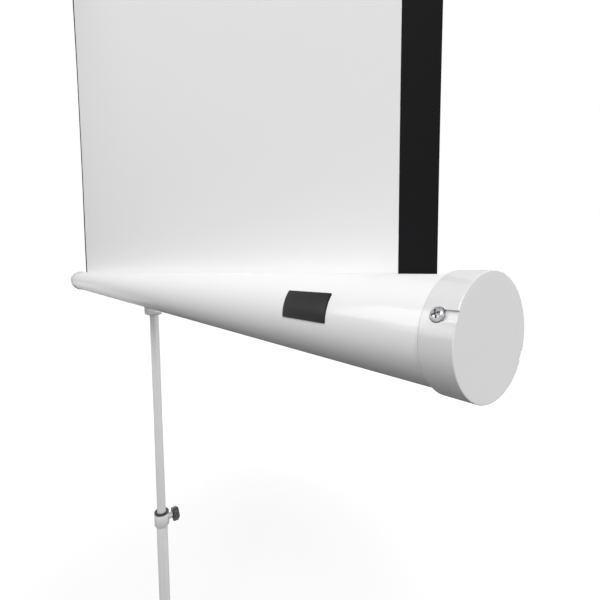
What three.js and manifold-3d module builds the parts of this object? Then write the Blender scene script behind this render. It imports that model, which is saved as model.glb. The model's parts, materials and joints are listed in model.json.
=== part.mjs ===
// A tripod projection screen, set up for use: a round case carried across a telescopic stand, with the
// sheet drawn up out of the case and hooked on a two-stage rod. Millimetres, +Z up, the audience at -Y
// and +X to its right. The floor is z = 0 and the origin is the middle of the footprint.
import * as THREE from "three";
import { mergeVertices } from "three/addons/utils/BufferGeometryUtils.js";
import Module from "manifold-3d";

// Clearances
const FIT = 0.3; // between pieces that are fixed together
const SLIDE = 0.4; // between pieces that slide or turn on each other
const PARK = 1.5; // between stacked pieces when the rods are down

// Sheet
const PICTURE_WIDTH = 1524;
const PICTURE_HEIGHT = 1524;
const SIDE_BORDER = 31;
const TOP_MARGIN = 6;
const FACE_THICKNESS = 0.2;
const BACKING_THICKNESS = 0.25;
const HEM_DEPTH = 12;

// Case
const TUBE_DIAMETER = 66.5;
const TUBE_WALL = 1.8;
const SLOT_WIDTH = 10;
const SLOT_LIP = 5;
const CAP_WALL = 2;
const CAP_LENGTH = 20;
const CAP_DISC = 5;
const CAP_EDGE = 1.6;
const SHEET_END_MARGIN = 44; // from a cap's face to the sheet's edge
const CAP_SCREW_ANGLE = 23; // degrees above the front
const CAP_SCREW_INSET = 10.5; // from the cap's face
const CAP_SCREW_HEAD = 7.8;
const CAP_SCREW_HEIGHT = 3.1;
const CAP_SCREW_SHANK = 4;
const CAP_SCREW_REACH = 3; // past the inside of the tube
const CHANNEL_WIDTH = 6;
const CHANNEL_DEPTH = 1.4;
const BOSS_WALL = 4;
const BOSS_LENGTH = 18;

// Roller
const ROLLER_DIAMETER = 25;
const ROLLER_WALL = 1;
const ROLLER_OVERHANG = 8; // past the sheet's edge
const WRAP_THICKNESS = 1.1;
const JOURNAL_DIAMETER = 10;
const PLUG_DEPTH = 24;
const PLUG_FLANGE = 3;
const SPRING_WIRE = 1.8;
const SPRING_TURNS = 14;
const SPRING_STEPS = 8; // straight runs that stand for one turn
const SPRING_LENGTH = 350;

// Top bar
const BAR_WIDTH = 12;
const BAR_HEIGHT = 26;
const BAR_WALL = 1.6;
const BAR_OVERHANG = 5; // past the sheet's edge
const BAR_PARK_GAP = 3; // above the case when the sheet is wound in
const BAR_CAP = 4;
const GROOVE_WIDTH = 2;
const HANGER_WIDTH = 28;
const HANGER_PLATE = 2.5;
const HANGER_LIFT = 1; // between the hanger's arm and the hook's lip

// Stand tubes
const COLUMN_DIAMETER = 25.4;
const COLUMN_WALL = 1.5;
const COLUMN_BOTTOM = 14;
const FOOT_PLUG_FLANGE = 6;
const FOOT_PLUG_DEPTH = 16;
const MAST_DIAMETER = 20;
const MAST_WALL = 1.2;
const MAST_BUSH_DEPTH = 12;
const MAST_BUSH_FLANGE = 4;
const LOWER_ADJUST = 275; // how far the mast can sink into the column
const ROD_WALL = 1.2;
const ROD_OVERLAP = 100; // held inside the next tube when drawn out

// Legs and braces
const LEG_ANGLE = 60; // degrees from upright, legs open
const LEG_AZIMUTHS = [-150, -30, 90]; // two to the front, one to the back
const LEG_WIDTH = 16;
const LEG_WALL = 1.5;
const LEG_INSIDE = 7.5; // from the pivot line to the channel's open edge
const LEG_OUTSIDE = 8.5; // from the pivot line to the channel's back
const LEG_CLEARANCE = 1.4; // between a folded leg and the crown
const BRACE_LENGTH = 248;
const BRACE_THICKNESS = 4;
const BRACE_DEPTH = 11;
const BRACE_PIVOT_HEIGHT = 42;
const PIN_DIAMETER = 5;
const PIN_HEAD = 8;
const PIN_HEAD_HEIGHT = 1.5;
const CROWN_WALL = 3;
const CROWN_ABOVE = 14;
const CROWN_BELOW = 30;
const COLLAR_WALL = 3;
const COLLAR_HALF_HEIGHT = 16;
const EAR_THICKNESS = 2.5;
const RIVET_HEIGHT = 0.9;
const FOOT_RISE = 35; // of the leg's cut end above the floor, along the leg
const FOOT_SOCKET = 20;
const FOOT_WALL = 1.6;
const FOOT_TOE = 6;

// Column lock
const LOCK_LENGTH = 28;
const LOCK_WALL = 4;
const LOCK_GAP = 18; // between the lock and the folded crown
const LOCK_BOSS = 14;
const LOCK_BOSS_REACH = 8; // past the collar's wall
const BUSH_LENGTH = 26;
const BUSH_FLANGE = 4;

// Knobs
const KNOB_DIAMETER = 34;
const KNOB_THICKNESS = 15;
const ROD_KNOB_DIAMETER = 26;
const ROD_KNOB_THICKNESS = 12;
const KNOB_LOBES = 5;
const KNOB_STUD = 6;
const ROD_KNOB_STUD = 5;

// Bracket between the mast and the case
const BRACKET_WIDTH = 32;
const BRACKET_FRONT_WALL = 4.2;
const BRACKET_BACK_WALL = 4;
const BRACKET_UP = 34; // above the case's axis
const BRACKET_DOWN = 66; // below it
const BRACKET_NOSE = 5; // the lower block stands forward by this
const BRACKET_NOSE_DOWN = 38; // the nose's top below the case's axis
const BRACKET_CORNER = 5;
const ROD_SEAT = 20; // bracket above the mast's top, round the lower rod
const SADDLE_LENGTH = 60;
const SADDLE_HEIGHT = 36;
const SADDLE_THICKNESS = 4.2;
const WASHER_THICKNESS = 1.2;
const WASHER_DIAMETER = 26;
const PIVOT_DIAMETER = 8;
const PIVOT_HEAD = 14;
const PIVOT_HEAD_HEIGHT = 1.8;
const PIVOT_SKIN = 0.8; // left between the pivot's hole and the mast's bore

// Carrying handle
const GRIP_DEPTH = 27; // room for the fingers behind the bracket
const GRIP_HEIGHT = 64;
const GRIP_BAR = 11;
const GRIP_WIDTH = 17;
const GRIP_EDGE = 2.5;
const GRIP_BELOW = 56; // its lowest point below the case's axis

// Rod fittings
const COLLAR_GRIP = 27;
const COLLAR_FLUTES = 12;
const COLLAR_SKIRT = 14;
const COLLAR_LIP = 6;
const HEAD_WALL = 2;
const HEAD_HEIGHT = 24;
const HEAD_SOCKET = 18;
const HOOK_FLOOR = 3.5;
const HOOK_LIP = 3;
const HOOK_LIP_HEIGHT = 13;
const HOOK_MOUTH = 7.5;
const HOOK_WIDTH = 18;

// Facets
const ROUND = 28; // round a tube
const CASE_ROUND = 40; // round the case
const SMALL = 10; // round a pin or a hole
const ARC = 3; // along half of one drawn arc
const BEVEL = 2; // across a rounded rim
const WELD = 1e-4;

// Worked-out sizes of the case and sheet
const tubeRadius = TUBE_DIAMETER / 2;
const tubeBore = tubeRadius - TUBE_WALL;
const capBore = tubeRadius + FIT;
const capRadius = capBore + CAP_WALL;
const sheetHalf = PICTURE_WIDTH / 2 + SIDE_BORDER;
const caseHalf = sheetHalf + SHEET_END_MARGIN;
const tubeHalf = caseHalf - CAP_DISC - FIT;
const rollerRadius = ROLLER_DIAMETER / 2;
const rollerBore = rollerRadius - ROLLER_WALL;
const rollerHalf = sheetHalf + ROLLER_OVERHANG;
const wrapRadius = rollerRadius + FIT + WRAP_THICKNESS;
const journalRadius = JOURNAL_DIAMETER / 2;
const faceFront = wrapRadius + FIT; // behind the case's axis
const faceBack = faceFront + FACE_THICKNESS;
const backingBack = faceBack + BACKING_THICKNESS;
const sheetTravel = PICTURE_HEIGHT + TOP_MARGIN;
const rodTravel = sheetTravel / 2;

// Worked-out sizes of the stand
const columnRadius = COLUMN_DIAMETER / 2;
const columnBore = columnRadius - COLUMN_WALL;
const mastRadius = MAST_DIAMETER / 2;
const lowerRodRadius = mastRadius - MAST_WALL - SLIDE;
const upperRodRadius = lowerRodRadius - ROD_WALL - SLIDE;
const crownRadius = columnRadius + SLIDE + CROWN_WALL;
const collarRadius = columnRadius + FIT + COLLAR_WALL;
const legPivot = crownRadius + LEG_CLEARANCE + LEG_INSIDE; // from the column's axis
const legTilt = THREE.MathUtils.degToRad(LEG_ANGLE);
const crownHeight = BRACE_PIVOT_HEIGHT + 2 * BRACE_LENGTH * Math.cos(legTilt);
const foldedCrownHeight = BRACE_PIVOT_HEIGHT + 2 * BRACE_LENGTH;
const columnTop = foldedCrownHeight + CROWN_ABOVE + LOCK_GAP + LOCK_LENGTH;
const lockHeight = columnTop - LOCK_LENGTH / 2;
const pinHole = PIN_DIAMETER / 2 + FIT;
const plugTop = COLUMN_BOTTOM + FOOT_PLUG_DEPTH;
const mastBottom = plugTop + LOWER_ADJUST + MAST_BUSH_FLANGE + FIT;
const lowerRodBottom = mastBottom + MAST_BUSH_DEPTH + PARK + rodTravel;
const bracketTop = lowerRodBottom + ROD_OVERLAP;
const caseHeight = bracketTop - BRACKET_UP;
const mastTop = bracketTop - ROD_SEAT;
const collarBottom = bracketTop + PARK + rodTravel;
const lowerRodTop = collarBottom + COLLAR_SKIRT;
const collarTop = lowerRodTop + FIT + COLLAR_LIP;
const upperRodBottom = lowerRodTop - ROD_OVERLAP;
const headBottom = collarTop + PARK + rodTravel;
const barBottom = caseHeight + tubeRadius + BAR_PARK_GAP + sheetTravel;

// The bracket, washer and saddle stand between the mast and the case
const bracketFront = mastRadius + FIT + BRACKET_FRONT_WALL;
const bracketBack = mastRadius + FIT + BRACKET_BACK_WALL;
const saddleFace = bracketFront + FIT + WASHER_THICKNESS + FIT;
const caseOffset = saddleFace + SADDLE_THICKNESS + FIT + tubeRadius;

const FINISHES = {
  enamel: { color: 0xf2f2f0, roughness: 0.3, metalness: 0 },
  whitePlastic: { color: 0xeeeeec, roughness: 0.4, metalness: 0 },
  darkPlastic: { color: 0x2a2b2d, roughness: 0.55, metalness: 0 },
  rubber: { color: 0x1b1b1c, roughness: 0.85, metalness: 0 },
  zinc: { color: 0xc4c7c9, roughness: 0.3, metalness: 1 },
  chrome: { color: 0xd9dbdd, roughness: 0.12, metalness: 1 },
  whiteVinyl: { color: 0xf4f4f2, roughness: 0.9, metalness: 0 },
  blackVinyl: { color: 0x161617, roughness: 0.85, metalness: 0 },
};

const wasm = await Module();
wasm.setup();

// A closed geometry as a solid: shared corners merged, slivers dropped, faces turned outwards.
function solid(geometry) {
  const loose = geometry.index ? geometry.toNonIndexed() : geometry;
  const bare = new THREE.BufferGeometry().setAttribute("position", loose.getAttribute("position"));
  const merged = mergeVertices(bare, WELD);
  const positions = merged.getAttribute("position");
  const corner = (index) => new THREE.Vector3().fromBufferAttribute(positions, index);
  const triangles = [];
  let volume = 0;
  for (let i = 0; i < merged.index.count; i += 3) {
    const [a, b, c] = [0, 1, 2].map((k) => merged.index.getX(i + k));
    if (a === b || b === c || c === a) continue;
    triangles.push(a, b, c);
    volume += corner(a).dot(corner(b).cross(corner(c)));
  }
  if (volume < 0) triangles.reverse();
  const closed = new wasm.Mesh({
    numProp: 3,
    vertProperties: new Float32Array(positions.array),
    triVerts: new Uint32Array(triangles),
  });
  return new wasm.Manifold(closed);
}

const asSolid = (shape) => (shape instanceof THREE.BufferGeometry ? solid(shape) : shape);
const join = (...shapes) => shapes.map(asSolid).reduce((whole, next) => whole.add(next));
const cut = (body, ...tools) => tools.map(asSolid).reduce((left, tool) => left.subtract(tool), asSolid(body));

// A named piece with a finish of its own.
function piece(name, shape, finish) {
  const made = asSolid(shape).getMesh();
  const geometry = new THREE.BufferGeometry();
  geometry.setAttribute("position", new THREE.BufferAttribute(made.vertProperties, 3));
  geometry.setIndex(new THREE.BufferAttribute(made.triVerts, 1));
  geometry.computeVertexNormals();
  const mesh = new THREE.Mesh(geometry, new THREE.MeshStandardMaterial(FINISHES[finish]));
  mesh.name = name;
  return mesh;
}

// Sets a piece at a height on the column's axis, turned about that axis.
function placed(object, height, degrees) {
  object.position.z = height;
  object.rotation.z = THREE.MathUtils.degToRad(degrees);
  return object;
}

function grouped(...members) {
  const group = new THREE.Group();
  group.add(...members);
  return group;
}

const X = new THREE.Vector3(1, 0, 0);
const Y = new THREE.Vector3(0, 1, 0);
const Z = new THREE.Vector3(0, 0, 1);
// The directions that an outline's two coordinates and its thickness take.
const OUTLINE_FRAME = { x: [Y, Z, X], y: [X, Z, Y], z: [X, Y, Z] };
const TURNING_AXIS = {
  x: new THREE.Matrix4().makeRotationZ(-Math.PI / 2),
  y: new THREE.Matrix4(),
  z: new THREE.Matrix4().makeRotationX(Math.PI / 2),
};

// A profile of [radius, place along the axis] pairs, revolved about that axis.
function turned(profile, axis, sides = ROUND) {
  const points = profile.map(([radius, along]) => new THREE.Vector2(radius, along));
  points.push(points[0].clone());
  return new THREE.LatheGeometry(points, sides).applyMatrix4(TURNING_AXIS[axis]);
}

const bar = (radius, from, to, axis, sides = SMALL) =>
  turned([[0, from], [radius, from], [radius, to], [0, to]], axis, sides);

const sleeve = (bore, radius, from, to, axis, sides = ROUND) =>
  turned([[bore, from], [radius, from], [radius, to], [bore, to]], axis, sides);

// An outline given a thickness along an axis, its rims rounded by the edge size.
function slab(outline, from, to, axis, edge = 0, arc = ARC) {
  const geometry = new THREE.ExtrudeGeometry(outline, {
    depth: to - from - 2 * edge,
    bevelEnabled: edge > 0,
    bevelThickness: edge,
    bevelSize: edge,
    bevelOffset: -edge,
    bevelSegments: BEVEL,
    curveSegments: arc,
  });
  geometry.translate(0, 0, from + edge);
  return geometry.applyMatrix4(new THREE.Matrix4().makeBasis(...OUTLINE_FRAME[axis]));
}

function block(low, high) {
  const size = high.map((value, k) => value - low[k]);
  const middle = high.map((value, k) => (value + low[k]) / 2);
  return new THREE.BoxGeometry(...size).translate(...middle);
}

const polygon = (points) => new THREE.Shape(points.map(([u, v]) => new THREE.Vector2(u, v)));

function roundedRectangle(low, high, radius) {
  const [left, bottom] = low;
  const [right, top] = high;
  const shape = new THREE.Shape();
  shape.moveTo(left + radius, bottom);
  shape.absarc(right - radius, bottom + radius, radius, -Math.PI / 2, 0, false);
  shape.absarc(right - radius, top - radius, radius, 0, Math.PI / 2, false);
  shape.absarc(left + radius, top - radius, radius, Math.PI / 2, Math.PI, false);
  shape.absarc(left + radius, bottom + radius, radius, Math.PI, Math.PI * 1.5, false);
  return shape;
}

// A tongue that starts at one place on a level line and ends round about another.
function tongue(start, end, radius, level = 0) {
  const shape = new THREE.Shape();
  shape.moveTo(start, level - radius);
  shape.absarc(end, level, radius, -Math.PI / 2, Math.PI / 2, false);
  shape.lineTo(start, level + radius);
  return shape;
}

// A closed ring whose radius swells and shrinks a set number of times.
function lobed(radius, depth, lobes, steps) {
  const points = Array.from({ length: lobes * steps }, (_, k) => {
    const angle = (2 * Math.PI * k) / (lobes * steps);
    const reach = radius - depth * (1 - Math.cos(lobes * angle)) * 0.5;
    return [reach * Math.cos(angle), reach * Math.sin(angle)];
  });
  return polygon(points);
}

// A headed pin across a leg: its heads lie outside the channel.
function legPin() {
  const shank = LEG_WIDTH / 2 + FIT;
  const end = shank + PIN_HEAD_HEIGHT;
  const [thin, wide] = [PIN_DIAMETER / 2, PIN_HEAD / 2];
  const profile = [[0, -end], [wide, -end], [wide, -shank], [thin, -shank]];
  profile.push([thin, shank], [wide, shank], [wide, end], [0, end]);
  return turned(profile, "y", SMALL);
}

// A lobed hand knob on a stud, its axis along +X.
function handKnob(diameter, thickness, studDiameter, studTip, headFrom) {
  const radius = diameter / 2;
  const head = slab(lobed(radius, radius * 0.16, KNOB_LOBES, 6), headFrom, headFrom + thickness, "x", 2.2);
  const stud = bar(studDiameter / 2, studTip, headFrom + thickness / 2, "x");
  return join(head, stud);
}

// The fixed foot of the column, with the collar that holds the braces
function columnPieces() {
  const stud = KNOB_STUD / 2 + FIT;
  const lockRadius = columnRadius + FIT + LOCK_WALL;
  const knobHole = (from, to) => bar(stud, from, to, "y").translate(0, 0, lockHeight);
  const tube = sleeve(columnBore, columnRadius, COLUMN_BOTTOM, columnTop, "z");
  const flange = columnRadius + COLUMN_WALL;
  const plugRadius = columnBore - FIT;
  const plugBase = COLUMN_BOTTOM - FIT;
  const plug = [[0, plugBase - FOOT_PLUG_FLANGE], [flange, plugBase - FOOT_PLUG_FLANGE]];
  plug.push([flange, plugBase], [plugRadius, plugBase], [plugRadius, plugTop], [0, plugTop]);
  const lock = join(
    sleeve(columnRadius + FIT, lockRadius, columnTop - LOCK_LENGTH, columnTop, "z"),
    bar(LOCK_BOSS / 2, columnRadius + LOCK_WALL / 2, lockRadius + LOCK_BOSS_REACH, "y", ROUND / 2)
      .translate(0, 0, lockHeight),
  );
  const bush = [[mastRadius + FIT, columnTop - BUSH_LENGTH], [columnBore - FIT, columnTop - BUSH_LENGTH]];
  bush.push([columnBore - FIT, columnTop + FIT], [lockRadius, columnTop + FIT]);
  bush.push([lockRadius, columnTop + FIT + BUSH_FLANGE], [mastRadius + FIT, columnTop + FIT + BUSH_FLANGE]);
  const knob = handKnob(
    KNOB_DIAMETER,
    KNOB_THICKNESS,
    KNOB_STUD,
    mastRadius + SLIDE,
    lockRadius + LOCK_BOSS_REACH + FIT,
  );
  return grouped(
    piece("column_tube", cut(tube, knobHole(mastRadius, lockRadius)), "enamel"),
    piece("column_foot_plug", turned(plug, "z"), "darkPlastic"),
    piece("brace_collar", braceCollar(), "whitePlastic"),
    piece("column_lock_collar", cut(lock, knobHole(0, caseOffset)), "whitePlastic"),
    piece("column_bush", cut(turned(bush, "z"), knobHole(0, caseOffset)), "darkPlastic"),
    placed(piece("column_lock_knob", knob, "darkPlastic"), lockHeight, 90),
  );
}

const atAzimuth = (geometry, degrees) => geometry.rotateZ(THREE.MathUtils.degToRad(degrees));

// Two ears for each brace stand out from a sleeve, with a rivet head outside each ear.
function braceCollar() {
  const low = BRACE_PIVOT_HEIGHT - COLLAR_HALF_HEIGHT;
  const high = BRACE_PIVOT_HEIGHT + COLLAR_HALF_HEIGHT;
  const inner = BRACE_THICKNESS / 2 + SLIDE;
  const outer = inner + EAR_THICKNESS;
  const parts = [sleeve(columnRadius + FIT, collarRadius, low, high, "z")];
  const outline = tongue(collarRadius - COLLAR_WALL / 2, legPivot, BRACE_DEPTH / 2, BRACE_PIVOT_HEIGHT);
  for (const azimuth of LEG_AZIMUTHS) {
    for (const [from, to, tip] of [[inner, outer, outer], [-outer, -inner, -outer]]) {
      const ear = slab(outline, from, to, "y");
      const reach = [tip - Math.sign(tip) * RIVET_HEIGHT, tip + Math.sign(tip) * RIVET_HEIGHT];
      const rivet = bar(PIN_HEAD / 2, Math.min(...reach), Math.max(...reach), "y");
      rivet.translate(legPivot, 0, BRACE_PIVOT_HEIGHT);
      parts.push(atAzimuth(ear, azimuth), atAzimuth(rivet, azimuth));
    }
  }
  return join(...parts);
}

// The sliding crown carries the three legs on lugs that fill their channels.
function crownPieces() {
  const lugHalf = LEG_WIDTH / 2 - LEG_WALL - SLIDE;
  const lugRadius = LEG_OUTSIDE - LEG_WALL - SLIDE;
  const knobDrop = CROWN_BELOW - LOCK_BOSS / 2 - FIT;
  const knobAzimuth = (LEG_AZIMUTHS[1] + LEG_AZIMUTHS[2]) / 2;
  const bossEnd = crownRadius + LOCK_BOSS_REACH;
  const outline = tongue(crownRadius - CROWN_WALL / 2, legPivot, lugRadius);
  const toKnob = (geometry) => atAzimuth(geometry.translate(0, 0, -knobDrop), knobAzimuth);
  const body = join(
    sleeve(columnRadius + SLIDE, crownRadius, -CROWN_BELOW, CROWN_ABOVE, "z"),
    toKnob(bar(LOCK_BOSS / 2, crownRadius - CROWN_WALL / 2, bossEnd, "x", ROUND / 2)),
    ...LEG_AZIMUTHS.map((azimuth) => atAzimuth(slab(outline, -lugHalf, lugHalf, "y"), azimuth)),
  );
  const holes = LEG_AZIMUTHS.map((azimuth) =>
    atAzimuth(bar(pinHole, -LEG_WIDTH, LEG_WIDTH, "y").translate(legPivot, 0, 0), azimuth),
  );
  holes.push(toKnob(bar(KNOB_STUD / 2 + FIT, columnRadius, bossEnd + FIT, "x")));
  const knob = handKnob(KNOB_DIAMETER, KNOB_THICKNESS, KNOB_STUD, columnRadius + SLIDE, bossEnd + FIT);
  const pins = LEG_AZIMUTHS.map((azimuth, k) => {
    const pin = piece(`leg_pin_${k + 1}`, legPin(), "zinc");
    pin.position.set(legPivot, 0, 0);
    return placed(grouped(pin), 0, azimuth);
  });
  const group = grouped(
    piece("leg_crown", cut(body, ...holes), "whitePlastic"),
    placed(piece("crown_lock_knob", knob, "darkPlastic"), -knobDrop, knobAzimuth),
    ...pins,
  );
  return placed(group, crownHeight, 0);
}

// A leg hangs from its pivot along -Z as a channel with its open side towards the column.
function legChannel(length) {
  const outline = new THREE.Shape();
  outline.moveTo(-LEG_INSIDE, -length);
  outline.lineTo(LEG_OUTSIDE, -length);
  outline.lineTo(LEG_OUTSIDE, LEG_INSIDE);
  outline.lineTo(0, LEG_INSIDE);
  outline.absarc(0, 0, LEG_INSIDE, Math.PI / 2, Math.PI, false);
  const half = LEG_WIDTH / 2;
  const hollow = block(
    [-2 * LEG_INSIDE, LEG_WALL - half, -length - LEG_WIDTH],
    [LEG_OUTSIDE - LEG_WALL, half - LEG_WALL, 2 * LEG_INSIDE],
  );
  const pinHoles = [0, -BRACE_LENGTH].map((drop) => bar(pinHole, -LEG_WIDTH, LEG_WIDTH, "y").translate(0, 0, drop));
  return cut(slab(outline, -half, half, "y"), hollow, ...pinHoles);
}

// A rubber boot, cut level where it stands on the floor, with a socket for the leg's end.
function legBoot(length) {
  const inside = -LEG_INSIDE - FIT - FOOT_WALL;
  const outside = LEG_OUTSIDE + FIT + FOOT_WALL;
  const half = LEG_WIDTH / 2 + FIT;
  const floorAt = (offset) => -(crownHeight + offset * Math.sin(legTilt)) / Math.cos(legTilt);
  const top = FOOT_SOCKET - length;
  const toe = outside - FOOT_TOE;
  const outline = polygon([
    [inside, top],
    [inside, floorAt(inside)],
    [toe, floorAt(toe)],
    [outside, floorAt(toe) + FOOT_TOE],
    [outside, top],
  ]);
  const socket = block(
    [-LEG_INSIDE - FIT, -half, -length - FIT],
    [LEG_OUTSIDE + FIT, half, top + FOOT_SOCKET],
  );
  return cut(slab(outline, -half - FOOT_WALL, half + FOOT_WALL, "y"), socket);
}

// A flat bar with round ends and an eye at each end.
function braceBar() {
  const radius = BRACE_DEPTH / 2;
  const outline = new THREE.Shape();
  outline.absarc(0, 0, radius, 0, Math.PI, false);
  outline.absarc(0, -BRACE_LENGTH, radius, Math.PI, 2 * Math.PI, false);
  const eyes = [0, -BRACE_LENGTH].map((drop) => bar(pinHole, -LEG_WIDTH, LEG_WIDTH, "y").translate(0, 0, drop));
  return cut(slab(outline, -BRACE_THICKNESS / 2, BRACE_THICKNESS / 2, "y"), ...eyes);
}

function legPieces(azimuth, number) {
  const length = crownHeight / Math.cos(legTilt) - FOOT_RISE;
  const pin = piece(`brace_pin_${number}`, legPin(), "zinc");
  pin.position.z = -BRACE_LENGTH;
  const leg = grouped(
    piece(`leg_${number}`, legChannel(length), "enamel"),
    piece(`foot_${number}`, legBoot(length), "rubber"),
    pin,
  );
  leg.position.set(legPivot, 0, crownHeight);
  leg.rotation.y = -legTilt;
  const brace = piece(`brace_${number}`, braceBar(), "zinc");
  brace.position.set(legPivot + BRACE_LENGTH * Math.sin(legTilt), 0, crownHeight - BRACE_LENGTH * Math.cos(legTilt));
  brace.rotation.y = legTilt;
  return placed(grouped(leg, brace), 0, azimuth);
}

// The bracket: a block round the mast with a lower nose, bored for the mast, the lower rod and the pivot.
function bracketBody() {
  const half = BRACKET_WIDTH / 2;
  const low = caseHeight - BRACKET_DOWN;
  const upper = roundedRectangle([-half, -bracketFront], [half, bracketBack], BRACKET_CORNER);
  const nose = roundedRectangle([-half, -bracketFront - BRACKET_NOSE], [half, bracketBack], BRACKET_CORNER);
  const body = join(
    slab(upper, low + BRACKET_CORNER, bracketTop, "z", 1.5),
    slab(nose, low, caseHeight - BRACKET_NOSE_DOWN, "z", BRACKET_CORNER * 0.7),
  );
  const pivotHole = bar(PIVOT_DIAMETER / 2 + FIT, -2 * bracketFront, -mastRadius - FIT - PIVOT_SKIN, "y");
  const knobHole = bar(ROD_KNOB_STUD / 2 + FIT, -BRACKET_WIDTH, 0, "x");
  return cut(
    body,
    bar(mastRadius + FIT, low - FIT, mastTop + FIT, "z", ROUND),
    bar(lowerRodRadius + SLIDE, mastTop, bracketTop + FIT, "z", ROUND),
    pivotHole.translate(0, 0, caseHeight),
    knobHole.translate(0, 0, bracketTop - ROD_SEAT / 2),
  );
}

// A looped grip behind the bracket, its straight run a hand's room away.
function carryHandle() {
  const front = bracketBack + FIT;
  const gripFront = front + GRIP_BAR * 0.8;
  const low = caseHeight - GRIP_BELOW;
  const high = low + GRIP_HEIGHT + 2 * GRIP_BAR;
  const back = gripFront + GRIP_DEPTH + GRIP_BAR;
  const outline = roundedRectangle([front, low], [back, high], GRIP_BAR);
  outline.holes.push(
    roundedRectangle([gripFront, low + GRIP_BAR], [gripFront + GRIP_DEPTH, low + GRIP_BAR + GRIP_HEIGHT], GRIP_BAR * 0.8),
  );
  return slab(outline, -GRIP_WIDTH / 2, GRIP_WIDTH / 2, "x", GRIP_EDGE);
}

function mastPieces() {
  const bushRadius = columnBore - SLIDE;
  const stubRadius = mastRadius - MAST_WALL - FIT;
  const bush = [[0, mastBottom - FIT - MAST_BUSH_FLANGE], [bushRadius, mastBottom - FIT - MAST_BUSH_FLANGE]];
  bush.push([bushRadius, mastBottom - FIT], [stubRadius, mastBottom - FIT]);
  bush.push([stubRadius, mastBottom + MAST_BUSH_DEPTH], [0, mastBottom + MAST_BUSH_DEPTH]);
  const headFront = saddleFace + SADDLE_THICKNESS - FIT;
  const headBack = headFront - PIVOT_HEAD_HEIGHT;
  const tip = mastRadius + FIT + PIVOT_SKIN + FIT;
  const bolt = [[0, -headFront], [PIVOT_HEAD / 2, -headFront], [PIVOT_HEAD / 2, -headBack]];
  bolt.push([PIVOT_DIAMETER / 2, -headBack], [PIVOT_DIAMETER / 2, -tip], [0, -tip]);
  const washer = sleeve(
    PIVOT_DIAMETER / 2 + FIT,
    WASHER_DIAMETER / 2,
    -bracketFront - FIT - WASHER_THICKNESS,
    -bracketFront - FIT,
    "y",
    ROUND / 2,
  );
  const knob = handKnob(
    ROD_KNOB_DIAMETER,
    ROD_KNOB_THICKNESS,
    ROD_KNOB_STUD,
    lowerRodRadius + SLIDE,
    BRACKET_WIDTH / 2 + PARK,
  );
  return grouped(
    piece("mast_tube", sleeve(mastRadius - MAST_WALL, mastRadius, mastBottom, mastTop, "z"), "enamel"),
    piece("mast_bush", turned(bush, "z"), "darkPlastic"),
    piece("case_bracket", bracketBody(), "whitePlastic"),
    piece("pivot_bolt", turned(bolt, "y", SMALL).translate(0, 0, caseHeight), "zinc"),
    piece("pivot_washer", washer.translate(0, 0, caseHeight), "zinc"),
    piece("carry_handle", carryHandle(), "darkPlastic"),
    placed(piece("rod_lock_knob", knob, "darkPlastic"), bracketTop - ROD_SEAT / 2, 180),
  );
}

// A fluted collar that twists to grip the upper rod, round the lower rod's top.
function twistCollar() {
  const grip = slab(lobed(COLLAR_GRIP / 2, 1.2, COLLAR_FLUTES, 4), collarBottom, collarTop, "z", 1);
  return cut(
    grip,
    bar(lowerRodRadius + SLIDE, collarBottom - FIT, lowerRodTop + FIT, "z", ROUND),
    bar(upperRodRadius + SLIDE, lowerRodTop, collarTop + FIT, "z", ROUND),
  );
}

const headRadius = upperRodRadius + FIT + HEAD_WALL;
const hookLipBack = headRadius + HOOK_MOUTH;
const hookLipFront = hookLipBack + HOOK_LIP;

// The head on the upper rod, with a hook across its front that is open at both sides.
function hookHead() {
  const dome = [[0, headBottom], [headRadius, headBottom], [headRadius, headBottom + HEAD_HEIGHT - HEAD_WALL]];
  dome.push([headRadius - HEAD_WALL, headBottom + HEAD_HEIGHT], [0, headBottom + HEAD_HEIGHT]);
  const hook = polygon([
    [-headRadius / 2, headBottom],
    [-hookLipFront + HOOK_LIP / 2, headBottom],
    [-hookLipFront, headBottom + HOOK_LIP / 2],
    [-hookLipFront, headBottom + HOOK_LIP_HEIGHT],
    [-hookLipBack, headBottom + HOOK_LIP_HEIGHT],
    [-hookLipBack, headBottom + HOOK_FLOOR],
    [-headRadius / 2, headBottom + HOOK_FLOOR],
  ]);
  return cut(
    join(turned(dome, "z", ROUND / 2), slab(hook, -HOOK_WIDTH / 2, HOOK_WIDTH / 2, "x")),
    bar(upperRodRadius + FIT, headBottom - FIT, headBottom + HEAD_SOCKET, "z", ROUND),
  );
}

function rodPieces() {
  const upperRodTop = headBottom + HEAD_SOCKET - FIT;
  const lower = sleeve(lowerRodRadius - ROD_WALL, lowerRodRadius, lowerRodBottom, lowerRodTop, "z");
  const upper = sleeve(upperRodRadius - ROD_WALL, upperRodRadius, upperRodBottom, upperRodTop, "z");
  return grouped(
    piece("lower_rod", lower, "enamel"),
    piece("rod_twist_collar", twistCollar(), "darkPlastic"),
    piece("upper_rod", upper, "enamel"),
    piece("hook_head", hookHead(), "darkPlastic"),
  );
}

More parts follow.
